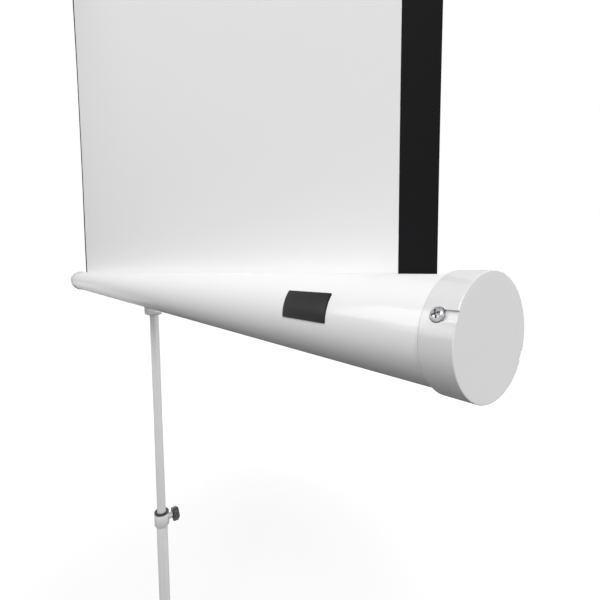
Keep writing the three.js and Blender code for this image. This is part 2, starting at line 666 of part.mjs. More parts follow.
// The case's section: a ring with a slot at its upper back, whose edges turn down inside as lips.
function tubeSection() {
  const slotFront = faceBack - SLOT_WIDTH / 2;
  const slotBack = faceBack + SLOT_WIDTH / 2;
  const rise = (radius, offset) => Math.sqrt(radius * radius - offset * offset);
  const angle = (radius, offset) => Math.atan2(rise(radius, offset), offset);
  const lipFoot = rise(tubeBore, slotBack + TUBE_WALL) - SLOT_LIP;
  const outline = new THREE.Shape();
  outline.absarc(0, 0, tubeRadius, angle(tubeRadius, slotFront), angle(tubeRadius, slotBack) + 2 * Math.PI, false);
  outline.lineTo(slotBack, lipFoot);
  outline.lineTo(slotBack + TUBE_WALL, lipFoot);
  const innerStart = angle(tubeBore, slotBack + TUBE_WALL) + 2 * Math.PI;
  outline.absarc(0, 0, tubeBore, innerStart, angle(tubeBore, slotFront - TUBE_WALL), true);
  outline.lineTo(slotFront - TUBE_WALL, lipFoot);
  outline.lineTo(slotFront, lipFoot);
  return outline;
}

// The two screws of a cap face each other across it: one above the front, one below the back.
const CAP_SCREW_TURNS = [CAP_SCREW_ANGLE, CAP_SCREW_ANGLE + 180];
const channelFloor = capRadius - CHANNEL_DEPTH;

// Turns a shape that points along -Y about the case's axis, upwards from the front.
const facing = (geometry, degrees) => geometry.clone().rotateX(THREE.MathUtils.degToRad(-degrees));

function screwHoles(end) {
  const hole = bar(CAP_SCREW_SHANK / 2 + FIT, -2 * capRadius, -tubeBore / 2, "y");
  hole.translate(end * (caseHalf - CAP_SCREW_INSET), 0, 0);
  return CAP_SCREW_TURNS.map((degrees) => facing(hole, degrees));
}

// An end cap: a dished cover with a skirt over the tube, a bearing boss inside and two screw channels.
function endCap(end) {
  const inside = caseHalf - CAP_DISC;
  const rim = caseHalf - CAP_LENGTH;
  const bossRadius = journalRadius + SLIDE + BOSS_WALL;
  const round = [0, 1, 2, 3].map((k) => {
    const turn = (k / 3) * (Math.PI / 2);
    return [capRadius - CAP_EDGE * (1 - Math.cos(turn)), caseHalf - CAP_EDGE * (1 - Math.sin(turn))];
  });
  const profile = [[journalRadius + SLIDE, inside - BOSS_LENGTH], [bossRadius, inside - BOSS_LENGTH]];
  profile.push([bossRadius, inside], [capBore, inside], [capBore, rim], [capRadius, rim], ...round);
  profile.push([0, caseHalf], [0, inside - FIT], [journalRadius + SLIDE, inside - FIT]);
  const channel = roundedRectangle(
    [caseHalf - CAP_SCREW_INSET - CHANNEL_WIDTH / 2, -CHANNEL_WIDTH / 2],
    [caseHalf + CHANNEL_WIDTH, CHANNEL_WIDTH / 2],
    CHANNEL_WIDTH / 2 - FIT,
  );
  const seat = bar(CAP_SCREW_HEAD / 2 + FIT, -2 * capRadius, -channelFloor, "y", ROUND / 2);
  seat.translate(caseHalf - CAP_SCREW_INSET, 0, 0);
  const recesses = [slab(channel, -2 * capRadius, -channelFloor, "y"), seat].flatMap((recess) => {
    recess.scale(end, 1, 1);
    return CAP_SCREW_TURNS.map((degrees) => facing(recess, degrees));
  });
  return cut(turned(profile, "x", CASE_ROUND).scale(end, 1, 1), ...recesses, ...screwHoles(end));
}

// A pan-headed screw, its head standing proud of the cap.
function capScrew(end, degrees) {
  const seat = channelFloor + FIT;
  const [head, shank] = [CAP_SCREW_HEAD / 2, CAP_SCREW_SHANK / 2];
  const crown = seat + CAP_SCREW_HEIGHT;
  const tip = tubeBore - CAP_SCREW_REACH;
  const profile = [[0, -crown], [head * 0.55, -crown], [head * 0.9, -crown + head * 0.22]];
  profile.push([head, -crown + head * 0.5], [head, -seat], [shank, -seat], [shank, -tip], [0, -tip]);
  const screw = turned(profile, "y", SMALL).translate(end * (caseHalf - CAP_SCREW_INSET), 0, 0);
  return facing(screw, degrees);
}

// The saddle: flat against the pivot's washer, hollowed to the tube, with a seat for the pivot's head.
function pivotSaddle() {
  const flat = caseOffset - saddleFace;
  const outline = roundedRectangle([-SADDLE_LENGTH / 2, -SADDLE_HEIGHT / 2], [SADDLE_LENGTH / 2, SADDLE_HEIGHT / 2], 8);
  const headSeat = flat - SADDLE_THICKNESS + PIVOT_HEAD_HEIGHT + 2 * FIT;
  return cut(
    slab(outline, 0, flat, "y"),
    bar(tubeRadius + FIT, -SADDLE_LENGTH, SADDLE_LENGTH, "x", CASE_ROUND),
    bar(PIVOT_HEAD / 2 + FIT, 0, headSeat, "y", ROUND / 2),
    bar(PIVOT_DIAMETER / 2 + FIT, 0, 2 * flat, "y"),
  );
}

// The curve of the roller's spring, wound on the shaft.
class SpringCurve extends THREE.Curve {
  constructor(start) {
    super();
    this.start = start;
    this.arcLengthDivisions = SPRING_TURNS * 40;
  }
  getPoint(t, target = new THREE.Vector3()) {
    const turn = 2 * Math.PI * SPRING_TURNS * t;
    const radius = (journalRadius + FIT + SPRING_WIRE / 2) / Math.cos(Math.PI / SPRING_STEPS);
    return target.set(this.start + SPRING_LENGTH * t, radius * Math.cos(turn), radius * Math.sin(turn));
  }
}

function rollerSpring(start) {
  const curve = new SpringCurve(start);
  const steps = SPRING_TURNS * SPRING_STEPS;
  const points = curve.getSpacedPoints(steps);
  const apart = points.flatMap((point, i) => points.slice(i + SPRING_STEPS - 2).map((other) => point.distanceTo(other)));
  console.log(`roller_spring: least gap between turns ${(Math.min(...apart) - SPRING_WIRE).toFixed(2)} mm`);
  const wire = Array.from({ length: 5 }, (_, k) => {
    const angle = (2 * Math.PI * k) / 5;
    return [(SPRING_WIRE / 2) * Math.cos(angle), (SPRING_WIRE / 2) * Math.sin(angle)];
  });
  return new THREE.ExtrudeGeometry(polygon(wire), { steps, extrudePath: curve, bevelEnabled: false });
}

// The roller turns on a journal at the right and on the fixed spring shaft at the left.
function rollerPieces() {
  const bore = journalRadius + SLIDE;
  const inside = rollerBore - FIT;
  const flangeFrom = rollerHalf + FIT;
  const flangeTo = flangeFrom + PLUG_FLANGE;
  const shaftEnd = caseHalf - CAP_DISC - 2 * FIT;
  const idle = [[0, rollerHalf - PLUG_DEPTH], [inside, rollerHalf - PLUG_DEPTH], [inside, flangeFrom]];
  idle.push([rollerRadius, flangeFrom], [rollerRadius, flangeTo], [journalRadius, flangeTo]);
  idle.push([journalRadius, shaftEnd], [0, shaftEnd]);
  const drive = [[bore, -flangeTo], [rollerRadius, -flangeTo], [rollerRadius, -flangeFrom], [inside, -flangeFrom]];
  drive.push([inside, PLUG_DEPTH - rollerHalf], [bore, PLUG_DEPTH - rollerHalf]);
  const springStart = PLUG_DEPTH - rollerHalf + SPRING_WIRE / 2 + FIT;
  const anchor = springStart + SPRING_LENGTH + SPRING_WIRE / 2 + FIT;
  return grouped(
    piece("spring_shaft", bar(journalRadius, -shaftEnd, anchor + PLUG_DEPTH / 2, "x"), "zinc"),
    piece("roller_tube", sleeve(rollerBore, rollerRadius, -rollerHalf, rollerHalf, "x", ROUND / 2), "zinc"),
    piece("idle_plug", turned(idle, "x", ROUND / 2), "darkPlastic"),
    piece("spring_plug", turned(drive, "x", ROUND / 2), "darkPlastic"),
    piece("spring_anchor", sleeve(bore, inside, anchor, anchor + PLUG_DEPTH / 2, "x", ROUND / 2), "darkPlastic"),
    piece("roller_spring", rollerSpring(springStart), "zinc"),
    piece("fabric_wraps", sleeve(rollerRadius + FIT, wrapRadius, -sheetHalf, sheetHalf, "x"), "whiteVinyl"),
  );
}

// The sheet: a black backing that shows as a border at each side of the white face.
function sheetPieces() {
  const top = barBottom + HEM_DEPTH - caseHeight;
  const picture = PICTURE_WIDTH / 2;
  return grouped(
    piece("screen_fabric", block([-picture, faceFront, 0], [picture, faceBack, top]), "whiteVinyl"),
    piece("fabric_backing", block([-sheetHalf, faceBack, 0], [sheetHalf, backingBack, top]), "blackVinyl"),
  );
}

// The top bar's outline about the sheet: round and hollow at the top, with a groove below for the sheet.
function barOutline(groove) {
  const half = BAR_WIDTH / 2;
  const shape = new THREE.Shape();
  shape.moveTo(half, 0);
  shape.absarc(0, BAR_HEIGHT - half, half, 0, Math.PI, false);
  shape.lineTo(-half, 0);
  if (groove) {
    shape.lineTo(-GROOVE_WIDTH / 2, 0);
    shape.lineTo(-GROOVE_WIDTH / 2, HEM_DEPTH + FIT);
    shape.lineTo(GROOVE_WIDTH / 2, HEM_DEPTH + FIT);
    shape.lineTo(GROOVE_WIDTH / 2, 0);
    const inner = half - BAR_WALL;
    const hollow = new THREE.Path();
    hollow.moveTo(-inner, HEM_DEPTH + FIT + BAR_WALL);
    hollow.lineTo(inner, HEM_DEPTH + FIT + BAR_WALL);
    hollow.absarc(0, BAR_HEIGHT - half, inner, 0, Math.PI, false);
    shape.holes.push(hollow);
  }
  return shape;
}

function barPieces() {
  const half = sheetHalf + BAR_OVERHANG;
  const [from, to] = [half + FIT, half + FIT + BAR_CAP];
  const back = BAR_WIDTH / 2 + FIT;
  const rod = caseOffset - faceBack; // the rods' axis, behind the bar's middle
  const lift = headBottom - barBottom;
  const armLow = lift + HOOK_LIP_HEIGHT + HANGER_LIFT;
  const tongueFront = rod - headRadius - HOOK_MOUTH / 2 - HANGER_PLATE / 2;
  const hanger = polygon([
    [back, BAR_HEIGHT / 4],
    [back + HANGER_PLATE, BAR_HEIGHT / 4],
    [back + HANGER_PLATE, armLow],
    [tongueFront, armLow],
    [tongueFront, lift + HOOK_FLOOR + FIT],
    [tongueFront + HANGER_PLATE, lift + HOOK_FLOOR + FIT],
    [tongueFront + HANGER_PLATE, armLow + HANGER_PLATE],
    [back, armLow + HANGER_PLATE],
  ]);
  const group = grouped(
    piece("top_bar", slab(barOutline(true), -half, half, "x"), "enamel"),
    piece("bar_cap_right", slab(barOutline(false), from, to, "x", 0.8), "darkPlastic"),
    piece("bar_cap_left", slab(barOutline(false), -to, -from, "x", 0.8), "darkPlastic"),
    piece("bar_hanger", slab(hanger, -HANGER_WIDTH / 2, HANGER_WIDTH / 2, "x"), "zinc"),
  );
  group.position.set(0, faceBack, barBottom - caseHeight);
  return group;
}

function casePieces() {
  const tube = slab(tubeSection(), -tubeHalf, tubeHalf, "x", 0, CASE_ROUND / 2);
  const screws = [[1, "right"], [-1, "left"]].flatMap(([end, side]) =>
    ["front", "back"].map((place, k) =>
      piece(`cap_screw_${side}_${place}`, capScrew(end, CAP_SCREW_TURNS[k]), "chrome"),
    ),
  );
  const group = grouped(
    piece("case_tube", cut(tube, ...screwHoles(1), ...screwHoles(-1)), "enamel"),
    piece("end_cap_right", endCap(1), "whitePlastic"),
    piece("end_cap_left", endCap(-1), "whitePlastic"),
    piece("pivot_saddle", pivotSaddle(), "whitePlastic"),
    ...screws,
    rollerPieces(),
    sheetPieces(),
    barPieces(),
  );
  group.position.set(0, -caseOffset, caseHeight);
  return group;
}

const assembly = grouped(
  columnPieces(),
  crownPieces(),
  ...LEG_AZIMUTHS.map((azimuth, k) => legPieces(azimuth, k + 1)),
  mastPieces(),
  rodPieces(),
  casePieces(),
);
const footprint = new THREE.Box3().setFromObject(assembly);
assembly.position.y = -(footprint.min.y + footprint.max.y) / 2;

export default grouped(assembly);
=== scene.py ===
"""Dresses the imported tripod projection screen: enamelled tubes, a drawn-up sheet and a white studio."""

import json
import math

import bmesh
import bpy
import numpy as np
from bpy.props import FloatProperty, FloatVectorProperty, PointerProperty
from mathutils import Matrix, Vector


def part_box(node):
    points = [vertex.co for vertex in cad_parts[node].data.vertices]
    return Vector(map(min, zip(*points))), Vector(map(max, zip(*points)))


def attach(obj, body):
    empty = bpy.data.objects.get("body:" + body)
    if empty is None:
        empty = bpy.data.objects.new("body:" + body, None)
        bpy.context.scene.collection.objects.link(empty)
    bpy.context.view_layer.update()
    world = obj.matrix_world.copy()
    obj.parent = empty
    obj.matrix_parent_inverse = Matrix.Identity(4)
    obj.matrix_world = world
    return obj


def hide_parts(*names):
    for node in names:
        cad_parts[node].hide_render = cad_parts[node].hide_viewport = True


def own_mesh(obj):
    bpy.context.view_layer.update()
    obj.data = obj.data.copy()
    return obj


bl_info = {
    "name": "Tripod projection screen",
    "version": (1, 0, 0),
    "blender": (4, 5, 0),
    "location": "3D View > Sidebar > Screen",
    "description": "Builds the looks of a tripod projection screen round its packed frame",
    "category": "Object",
}

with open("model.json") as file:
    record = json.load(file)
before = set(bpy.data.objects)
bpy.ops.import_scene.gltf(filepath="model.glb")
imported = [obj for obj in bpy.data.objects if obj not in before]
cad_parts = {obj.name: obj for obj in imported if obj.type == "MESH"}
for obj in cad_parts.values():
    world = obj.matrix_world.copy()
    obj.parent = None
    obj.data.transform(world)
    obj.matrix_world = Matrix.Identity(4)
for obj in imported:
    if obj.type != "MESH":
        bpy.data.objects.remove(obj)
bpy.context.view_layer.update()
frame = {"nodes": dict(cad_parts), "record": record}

X, Y, Z = np.eye(3)
FULL_TURN = 2 * math.pi
QUARTER_TURN = math.pi / 2


def spans(node):
    """The lowest and highest corners of a CAD node as arrays."""
    return tuple(np.array(corner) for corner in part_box(node))


def vertices(mesh):
    """A mesh's vertices as an array of rows x, y, z."""
    flat = np.empty(len(mesh.vertices) * 3)
    mesh.vertices.foreach_get("co", flat)
    return flat.reshape(-1, 3)


def middle(node):
    """The middle of a CAD node's box."""
    low, high = spans(node)
    return (low + high) / 2


# Sizes that the frame gives
CAP_LOW, CAP_HIGH = spans("end_cap_right")
CASE_FACE = CAP_HIGH[0]
CAP_RADIUS = (CAP_HIGH[2] - CAP_LOW[2]) / 2
CASE_Y, CASE_Z = (CAP_LOW[1:] + CAP_HIGH[1:]) / 2
TUBE_LOW, TUBE_HIGH = spans("case_tube")
TUBE_RADIUS = (TUBE_HIGH[2] - TUBE_LOW[2]) / 2
COLUMN_AXIS = middle("column_tube") * (1, 1, 0)

# Sizes below are of details that the boxes don't show, in metres and degrees
# Any piece: angles past which an edge is sharp or bevelled, distances at which points merge, and play
SHARP = 38
BEVEL_ANGLE = 42
SEAM = 2e-6
SLIVER = 1e-7
NODE_SEAM = 1e-6
FIT = 0.0003

# Case tube and plate
TUBE_WALL = 0.0018
SLOT_HALF = 0.005
SLOT_LIP = 0.005
SLOT_BEND = 0.0009
LIP_ROUND = 0.0007
PLATE_CORNER = 0.0016

# End caps and their screw channels; the mesh is finer in a zone round a channel
CAP_LENGTH = 0.020
CAP_DISC = 0.005
CAP_SKIRT = 0.002
CAP_FILLET = 0.0006
CAP_RIM_DEPTH = 0.0004
CAP_RIM_LENGTH = 0.0005
CAP_EASE = 0.0003
BOSS_RADIUS = 0.0094
BOSS_BORE = 0.0054
BOSS_LENGTH = 0.018
CHANNEL_HALF = 0.003
CHANNEL_DEPTH = 0.0014
CHANNEL_EDGE = 0.00014
CHANNEL_ZONE = 0.0055
CHANNEL_MARGIN = 0.02

# Cap screws, each a dome that falls slowly and then at its edge, with a cross recess
SCREW_ANGLE = 23
SCREW_INSET = 0.0105
SCREW_HEAD = 0.0039
SCREW_HEIGHT = 0.0031
SCREW_FALL = 0.30
SCREW_EDGE = 0.25
SCREW_TURN = 24
SCREW_SHANK = 0.002
SHANK_LENGTH = 0.0065
RECESS_HALF = 0.00042
RECESS_REACH = 0.0023
RECESS_DEPTH = 0.0019
RECESS_TAPER = 0.62
RECESS_EDGE = 0.00012
RECESS_END = 0.0002

# Sheet, with two waves: share of the depth, radians per metre across, radians upwards, start
SHEET_POINTS = 97
BAR_TRAVEL = 1.53
HEM = 0.012
BACK_GAP = 0.00004
WRAPS = 0.0011
CLOTH = 0.00045
SHEET_WAVES = ((0.35, 9.0, 2.2, 0.0), (0.20, 17.0, -3.0, 1.0))
EDGE_CURL = 1.6
EDGE_POWER = 10
FREE_FROM_SLOT = (0.05, 0.30)
FREE_FROM_BAR = (0.28, 0.55)

# Stand and rods
COLUMN_WALL = 0.0015
ROD_WALL = 0.0012
ROD_PLAY = 0.0004
TUBE_RIM = 0.0005
CROWN_KNOB_TURN = 30
LOBES, LOBE_DEPTH = 5, 0.08
FLUTES, FLUTE_DEPTH = 12, 0.045
LEG_TURNS = (("left", -150), ("right", -30), ("rear", 90))
PIN_SHANK = 0.0025
PIN_HEAD = 0.004
PIN_START = 0.0083
PIN_RIM = 0.0004
PIN_DOME = 0.0011

# Top bar and hanger
GROOVE_HALF = 0.001
GROOVE_DEPTH = 0.0123
GROOVE_ROUND = 0.0004
BAR_ROUND = 0.0008
BAR_CAP_RIM = 0.0014
HANGER_PLATE = 0.0025
HANGER_EDGE = 0.0004
HOOK_LIP = 0.0035

# Carrying handle
HANDLE_BAR = 0.011
HANDLE_FRONT = 0.8 * HANDLE_BAR
HANDLE_SOFT = 0.45
HANDLE_SHARP = 60
HANDLE_WAIST = 0.10
GRIP_ZONE = (0.013, 0.009)
FINGER_DEPTH = 0.0007
FINGER_PITCH = 0.021

# Share of the light that a satin white finish mirrors, the same at every angle
SATIN = 0.05
CAP_SATIN = 0.10

# How dark the stand's enamel is beside the case's: painted shade, a darker copy of the case's enamel that
# stands in for the shade the pole is in under the case
STAND_PAINTED_SHADE = 0.88


def length(name, description, default):
    """A length in metres that a user may change."""
    return FloatProperty(name=name, description=description, default=default, unit="LENGTH")


def tint(name, description, *default):
    """A colour that a user may change."""
    return FloatVectorProperty(name=name, description=description, default=default, subtype="COLOR")


class ScreenSizes(bpy.types.PropertyGroup):
    """Sizes of the looks that a user may change."""

    sheet_wave: length("Sheet wave", "Depth of the drawn sheet's waves", 0.0016)
    plate_length: length("Plate length", "Length of the bare plate on the case", 0.052)
    plate_height: length("Plate height", "Height of the plate round the case", 0.0215)
    plate_inset: length("Plate inset", "From the right cap's face to the plate", 0.097)
    rim: length("Rim", "Width of the small rounded edges", 0.0004)


class ScreenColours(bpy.types.PropertyGroup):
    """Colours of the finishes."""

    enamel: tint("Enamel", "White enamel of the tubes", 0.86, 0.86, 0.86)
    cap: tint("White plastic", "Caps, bracket and crown", 0.735, 0.735, 0.735)
    black: tint("Black plastic", "Knobs and grips", 0.022, 0.022, 0.024)
    rubber: tint("Rubber", "Feet", 0.014, 0.014, 0.015)
    zinc: tint("Zinc", "Plated steel", 0.60, 0.61, 0.63)
    chrome: tint("Chrome", "The caps' screws", 0.40, 0.405, 0.42)
    sheet: tint("Sheet", "White face of the sheet", 0.94, 0.94, 0.94)
    border: tint("Border", "Black border and back of the sheet", 0.009, 0.009, 0.010)
    plate: tint("Plate", "Bare plate on the case", 0.008, 0.008, 0.009)


class Wire:
    """A shader socket whose arithmetic adds Math nodes."""

    def __init__(self, tree, socket):
        self.tree = tree
        self.socket = socket

    def math(self, operation, *others):
        """A Math node of this socket and the others, which may be numbers."""
        return self.tree.node("ShaderNodeMath", {"operation": operation}, dict(enumerate((self, *others))))

    def __add__(self, other):
        return self.math("ADD", other)

    __radd__ = __add__

    def __mul__(self, other):
        return self.math("MULTIPLY", other)

    __rmul__ = __mul__


class Tree:
    """A node tree with one method that makes every node."""

    def __init__(self, owner):
        owner.use_nodes = True
        self.nodes = owner.node_tree.nodes
        self.links = owner.node_tree.links
        self.nodes.clear()

    def node(self, kind, settings=None, inputs=None, output=0):
        """Adds a node, sets it up, then fills or links its sockets, and gives one output."""
        made = self.nodes.new(kind)
        for name, value in (settings or {}).items():
            if name == "stops":
                for stop, (position, colour) in zip(made.color_ramp.elements, value):
                    stop.position, stop.color = position, (*colour, 1)
            else:
                setattr(made, name, value)
        for name, value in (inputs or {}).items():
            socket = made.inputs[name]
            if isinstance(value, Wire):
                self.links.new(value.socket, socket)
            elif socket.type == "RGBA":
                socket.default_value = (*value, 1)
            else:
                socket.default_value = value
        return Wire(self, made.outputs[output]) if made.outputs else made

    def place(self, scale=(1, 1, 1)):
        """Object coordinates, stretched."""
        where = self.node("ShaderNodeTexCoord", output="Object")
        return self.node("ShaderNodeMapping", {}, {"Vector": where, "Scale": scale})

    def noise(self, scale, detail=2.0, stretch=(1, 1, 1), roughness=0.5):
        """Smooth noise between 0 and 1."""
        grain = {"Scale": scale, "Detail": detail, "Roughness": roughness}
        return self.node("ShaderNodeTexNoise", {}, {"Vector": self.place(stretch), **grain})

    def mix(self, factor, low, high):
        """A colour between two colours."""
        kind = {"data_type": "RGBA"}
        return self.node("ShaderNodeMix", kind, {0: factor, 6: low, 7: high}, output=2)

    def ramp(self, value, low, high):
        """Black up to low, white from high, and grey between them."""
        stops = [(low, (0, 0, 0)), (high, (1, 1, 1))]
        return self.node("ShaderNodeValToRGB", {"stops": stops}, {"Fac": value})

    def bump(self, height, strength, distance):
        """A normal that leans as the height rises and falls."""
        sizes = {"Height": height, "Strength": strength, "Distance": distance}
        return self.node("ShaderNodeBump", {}, sizes)


class Finish(Tree):
    """A new material's node tree."""

    def __init__(self, name):
        self.material = bpy.data.materials.new(name)
        super().__init__(self.material)

    def surface(self, **sockets):
        """Ends the material with a Principled shader; in a socket's name an underscore is a space."""
        named = {name.replace("_", " "): value for name, value in sockets.items()}
        shader = self.node("ShaderNodeBsdfPrincipled", {}, named)
        self.node("ShaderNodeOutputMaterial", {}, {"Surface": shader})
        return self.material


def shade(colour, factor):
    """A colour made darker or lighter."""
    return tuple(min(1.0, channel * factor) for channel in colour)


def enamel(name, colour, roughness):
    """Sprayed enamel: even satin gloss over a faint orange peel, slow drifts of tone and fine dust."""
    f = Finish(name)
    drift = f.noise(scale=3.2, detail=3)
    peel = f.noise(scale=520, detail=1)
    specks = f.ramp(f.noise(scale=190, detail=2, roughness=0.7), low=0.70, high=0.76)
    tone = f.mix(drift, shade(colour, 0.975), shade(colour, 1.015))
    return f.surface(
        Base_Color=f.mix(specks * 0.05, tone, shade(colour, 0.8)),
        Roughness=roughness + drift * 0.05 + specks * 0.10,
        Metallic=SATIN,
        Specular_IOR_Level=0.0,
        Normal=f.bump(peel, strength=0.05, distance=0.0004),
    )


def moulded(name, colour, roughness, grain, sheen=0.5, satin=0.0):
    """Moulded plastic: spark-eroded grain, mould flow in the tone and a little handling wear."""
    f = Finish(name)
    flow = f.noise(scale=14, detail=4, stretch=(1, 1, 0.3))
    spark = f.noise(scale=grain, detail=3, roughness=0.65)
    wear = f.ramp(f.noise(scale=60, detail=5), low=0.55, high=0.8)
    return f.surface(
        Base_Color=f.mix(flow, shade(colour, 0.94), shade(colour, 1.05)),
        Roughness=roughness + spark * 0.08 + wear * 0.06,
        Metallic=satin,
        Specular_IOR_Level=sheen,
        Normal=f.bump(spark, strength=0.10, distance=0.0003),
    )


def rubbery(name, colour):
    """Rubber: chalky bloom in patches over a pitted face."""
    f = Finish(name)
    bloom = f.noise(scale=45, detail=5, roughness=0.7)
    pits = f.noise(scale=1100, detail=2)
    return f.surface(
        Base_Color=f.mix(bloom, colour, shade(colour, 2.6)),
        Roughness=0.72 + bloom * 0.2,
        Normal=f.bump(pits, strength=0.25, distance=0.0004),
    )


def plated(name, colour, roughness, stretch):
    """Plated steel: fine streaks, drawn out along an axis by the stretch, under cloudy plating."""
    f = Finish(name)
    streak = f.noise(scale=900, detail=2, stretch=stretch)
    cloud = f.noise(scale=35, detail=4)
    return f.surface(
        Base_Color=f.mix(cloud, shade(colour, 0.86), shade(colour, 1.08)),
        Metallic=1.0,
        Roughness=roughness + streak * 0.12 + cloud * 0.08,
        Normal=f.bump(streak, strength=0.06, distance=0.0002),
    )


def vinyl(name, colour, pitch, depth, roughness, sheen):
    """Coated cloth: crossed threads sin(x) sin(z) under a coat that clouds a little."""
    f = Finish(name)
    where = f.node("ShaderNodeTexCoord", output="Object")
    turn = FULL_TURN / pitch
    across = f.node("ShaderNodeSeparateXYZ", {}, {0: where}, output=0)
    along = f.node("ShaderNodeSeparateXYZ", {}, {0: where}, output=2)
    threads = (across * turn).math("SINE") * (along * turn).math("SINE")
    cloud = f.noise(scale=2.3, detail=4)
    grain = f.noise(scale=1500, detail=2)
    height = threads * 0.5 + grain * 0.6
    return f.surface(
        Base_Color=f.mix(cloud, shade(colour, 0.985), shade(colour, 1.01)),
        Roughness=roughness + grain * 0.1,
        Specular_IOR_Level=sheen,
        Normal=f.bump(height, strength=depth, distance=0.0003),
    )


FINISHES = {}


def make_finishes(colours):
    """One material for each of the record's slots, and one for the bare plate."""
    # The stand's colour is painted shade: the case's enamel made darker for the pole's place in shade under
    # the case
    stand = shade(colours.enamel, STAND_PAINTED_SHADE)
    makers = {
        "white_enamel_steel": (enamel, dict(colour=stand, roughness=0.22)),
        "white_enamel_aluminium": (enamel, dict(colour=colours.enamel, roughness=0.12)),
        "white_plastic": (
            moulded,
            dict(colour=colours.cap, roughness=0.10, grain=900, sheen=0.0, satin=CAP_SATIN),
        ),
        "dark_plastic": (moulded, dict(colour=colours.black, roughness=0.38, grain=650)),
        "black_rubber": (rubbery, dict(colour=colours.rubber)),
        "zinc_steel": (plated, dict(colour=colours.zinc, roughness=0.24, stretch=(0.2, 1, 1))),
        "chrome_screw": (plated, dict(colour=colours.chrome, roughness=0.14, stretch=(1, 1, 1))),
        "white_screen_vinyl": (
            vinyl,
            dict(colour=colours.sheet, pitch=0.0011, depth=0.10, roughness=0.78, sheen=0.0),
        ),
        "black_screen_vinyl": (
            vinyl,
            dict(colour=colours.border, pitch=0.0013, depth=0.20, roughness=0.70, sheen=0.06),
        ),
        "bare_plate": (moulded, dict(colour=colours.plate, roughness=0.25, grain=1300, sheen=0.15)),
    }
    for name, (maker, values) in makers.items():
        FINISHES[name] = maker(name, **values)


def quads(rows, columns, round_rows=False, round_columns=False):
    """Corner numbers of a grid's quads, row by row, with either direction closed on itself."""
    row = np.arange(rows if round_rows else rows - 1)[:, None]
    column = np.arange(columns if round_columns else columns - 1)[None, :]
    next_row, next_column = (row + 1) % rows, (column + 1) % columns
    corners = [row * columns + column, row * columns + next_column]
    corners += [next_row * columns + next_column, next_row * columns + column]
    return np.stack(np.broadcast_arrays(*corners), -1).reshape(-1, 4)


def rounded(points, radii, steps=5):
    """A closed outline whose corners P become curves (1-s)^2 A + 2s(1-s) P + s^2 B between their sides."""
    corner = np.asarray(points, float)
    before = np.roll(corner, 1, 0) - corner
    after = np.roll(corner, -1, 0) - corner
    length_before = np.linalg.norm(before, axis=1)
    length_after = np.linalg.norm(after, axis=1)
    radius = np.broadcast_to(np.asarray(radii, float), len(corner))
    cosine = (before * after).sum(1) / (length_before * length_after)
    half = np.arccos(np.clip(cosine, -1, 1)) / 2
    room = 0.49 * np.minimum(length_before, length_after)
    reach = np.minimum(radius / np.tan(np.maximum(half, 1e-3)), room)
    start = corner + before * (reach / length_before)[:, None]
    end = corner + after * (reach / length_after)[:, None]
    counts = np.where(radius > 0, steps, 1)
    which = np.repeat(np.arange(len(corner)), counts)
    first = np.repeat(np.cumsum(counts) - counts, counts)
    s = ((np.arange(len(which)) - first) / np.maximum(counts[which] - 1, 1))[:, None]
    return (1 - s) ** 2 * start[which] + 2 * s * (1 - s) * corner[which] + s**2 * end[which]


def inset(outline, depth):
    """An outline moved inwards by depth: each point goes along the sum of its two edges' normals."""
    edge = np.roll(outline, -1, 0) - outline
    edge /= np.maximum(np.linalg.norm(edge, axis=1), 1e-12)[:, None]
    normal = np.column_stack([-edge[:, 1], edge[:, 0]])
    last = np.roll(normal, 1, 0)
    share = np.maximum(1 + (normal * last).sum(1), 0.3)[:, None]
    turning = np.sign(np.cross(outline, np.roll(outline, -1, 0)).sum())
    return outline + turning * depth * (normal + last) / share


def arc(centre, radius, start, stop, steps):
    """Points centre + radius (cos a, sin a) for angles a from start to stop."""
    angle = np.linspace(start, stop, steps)
    return np.column_stack([centre[0] + radius * np.cos(angle), centre[1] + radius * np.sin(angle)])


def make(name, points, faces, slot, body, replaces=(), finish=None, sharp=SHARP):
    """A mesh with its seams and poles closed and its faces turned outwards, riding on a body."""
    mesh = bpy.data.meshes.new(name)
    rows = np.asarray(points, float).reshape(-1, 3).tolist()
    mesh.from_pydata(rows, [], [list(map(int, face)) for face in faces])
    work = bmesh.new()
    work.from_mesh(mesh)
    bmesh.ops.remove_doubles(work, verts=work.verts, dist=SEAM)
    bmesh.ops.dissolve_degenerate(work, edges=work.edges, dist=SLIVER)
    bmesh.ops.recalc_face_normals(work, faces=work.faces)
    work.to_mesh(mesh)
    work.free()
    mesh.shade_smooth()
    mesh.set_sharp_from_angle(angle=math.radians(sharp))
    mesh.materials.append(FINISHES[finish or slot])
    piece = bpy.data.objects.new(name, mesh)
    bpy.context.scene.collection.objects.link(piece)
    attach(piece, body)
    if replaces:
        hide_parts(*replaces)
    return piece


def lathe(profile, origin, axis, turns=72, swell=None, round_rows=True):
    """A turned surface: origin + axis a + r (cos v, sin v) for pairs (r, a), with r changed by swell."""
    pairs = np.asarray(profile, float)
    along = np.asarray(axis, float)
    side = np.cross(along, Z if abs(along[2]) < 0.9 else X)
    side /= np.linalg.norm(side)
    other = np.cross(along, side)
    turn = np.linspace(0, FULL_TURN, turns, endpoint=False)
    radius = pairs[:, :1] * np.ones(turns)
    if swell is not None:
        radius = swell(radius, turn[None, :])
    points = np.asarray(origin) + pairs[:, 1, None, None] * along
    points = points + radius[..., None] * (np.cos(turn)[:, None] * side + np.sin(turn)[:, None] * other)
    return points.reshape(-1, 3), quads(len(pairs), turns, round_rows, True)


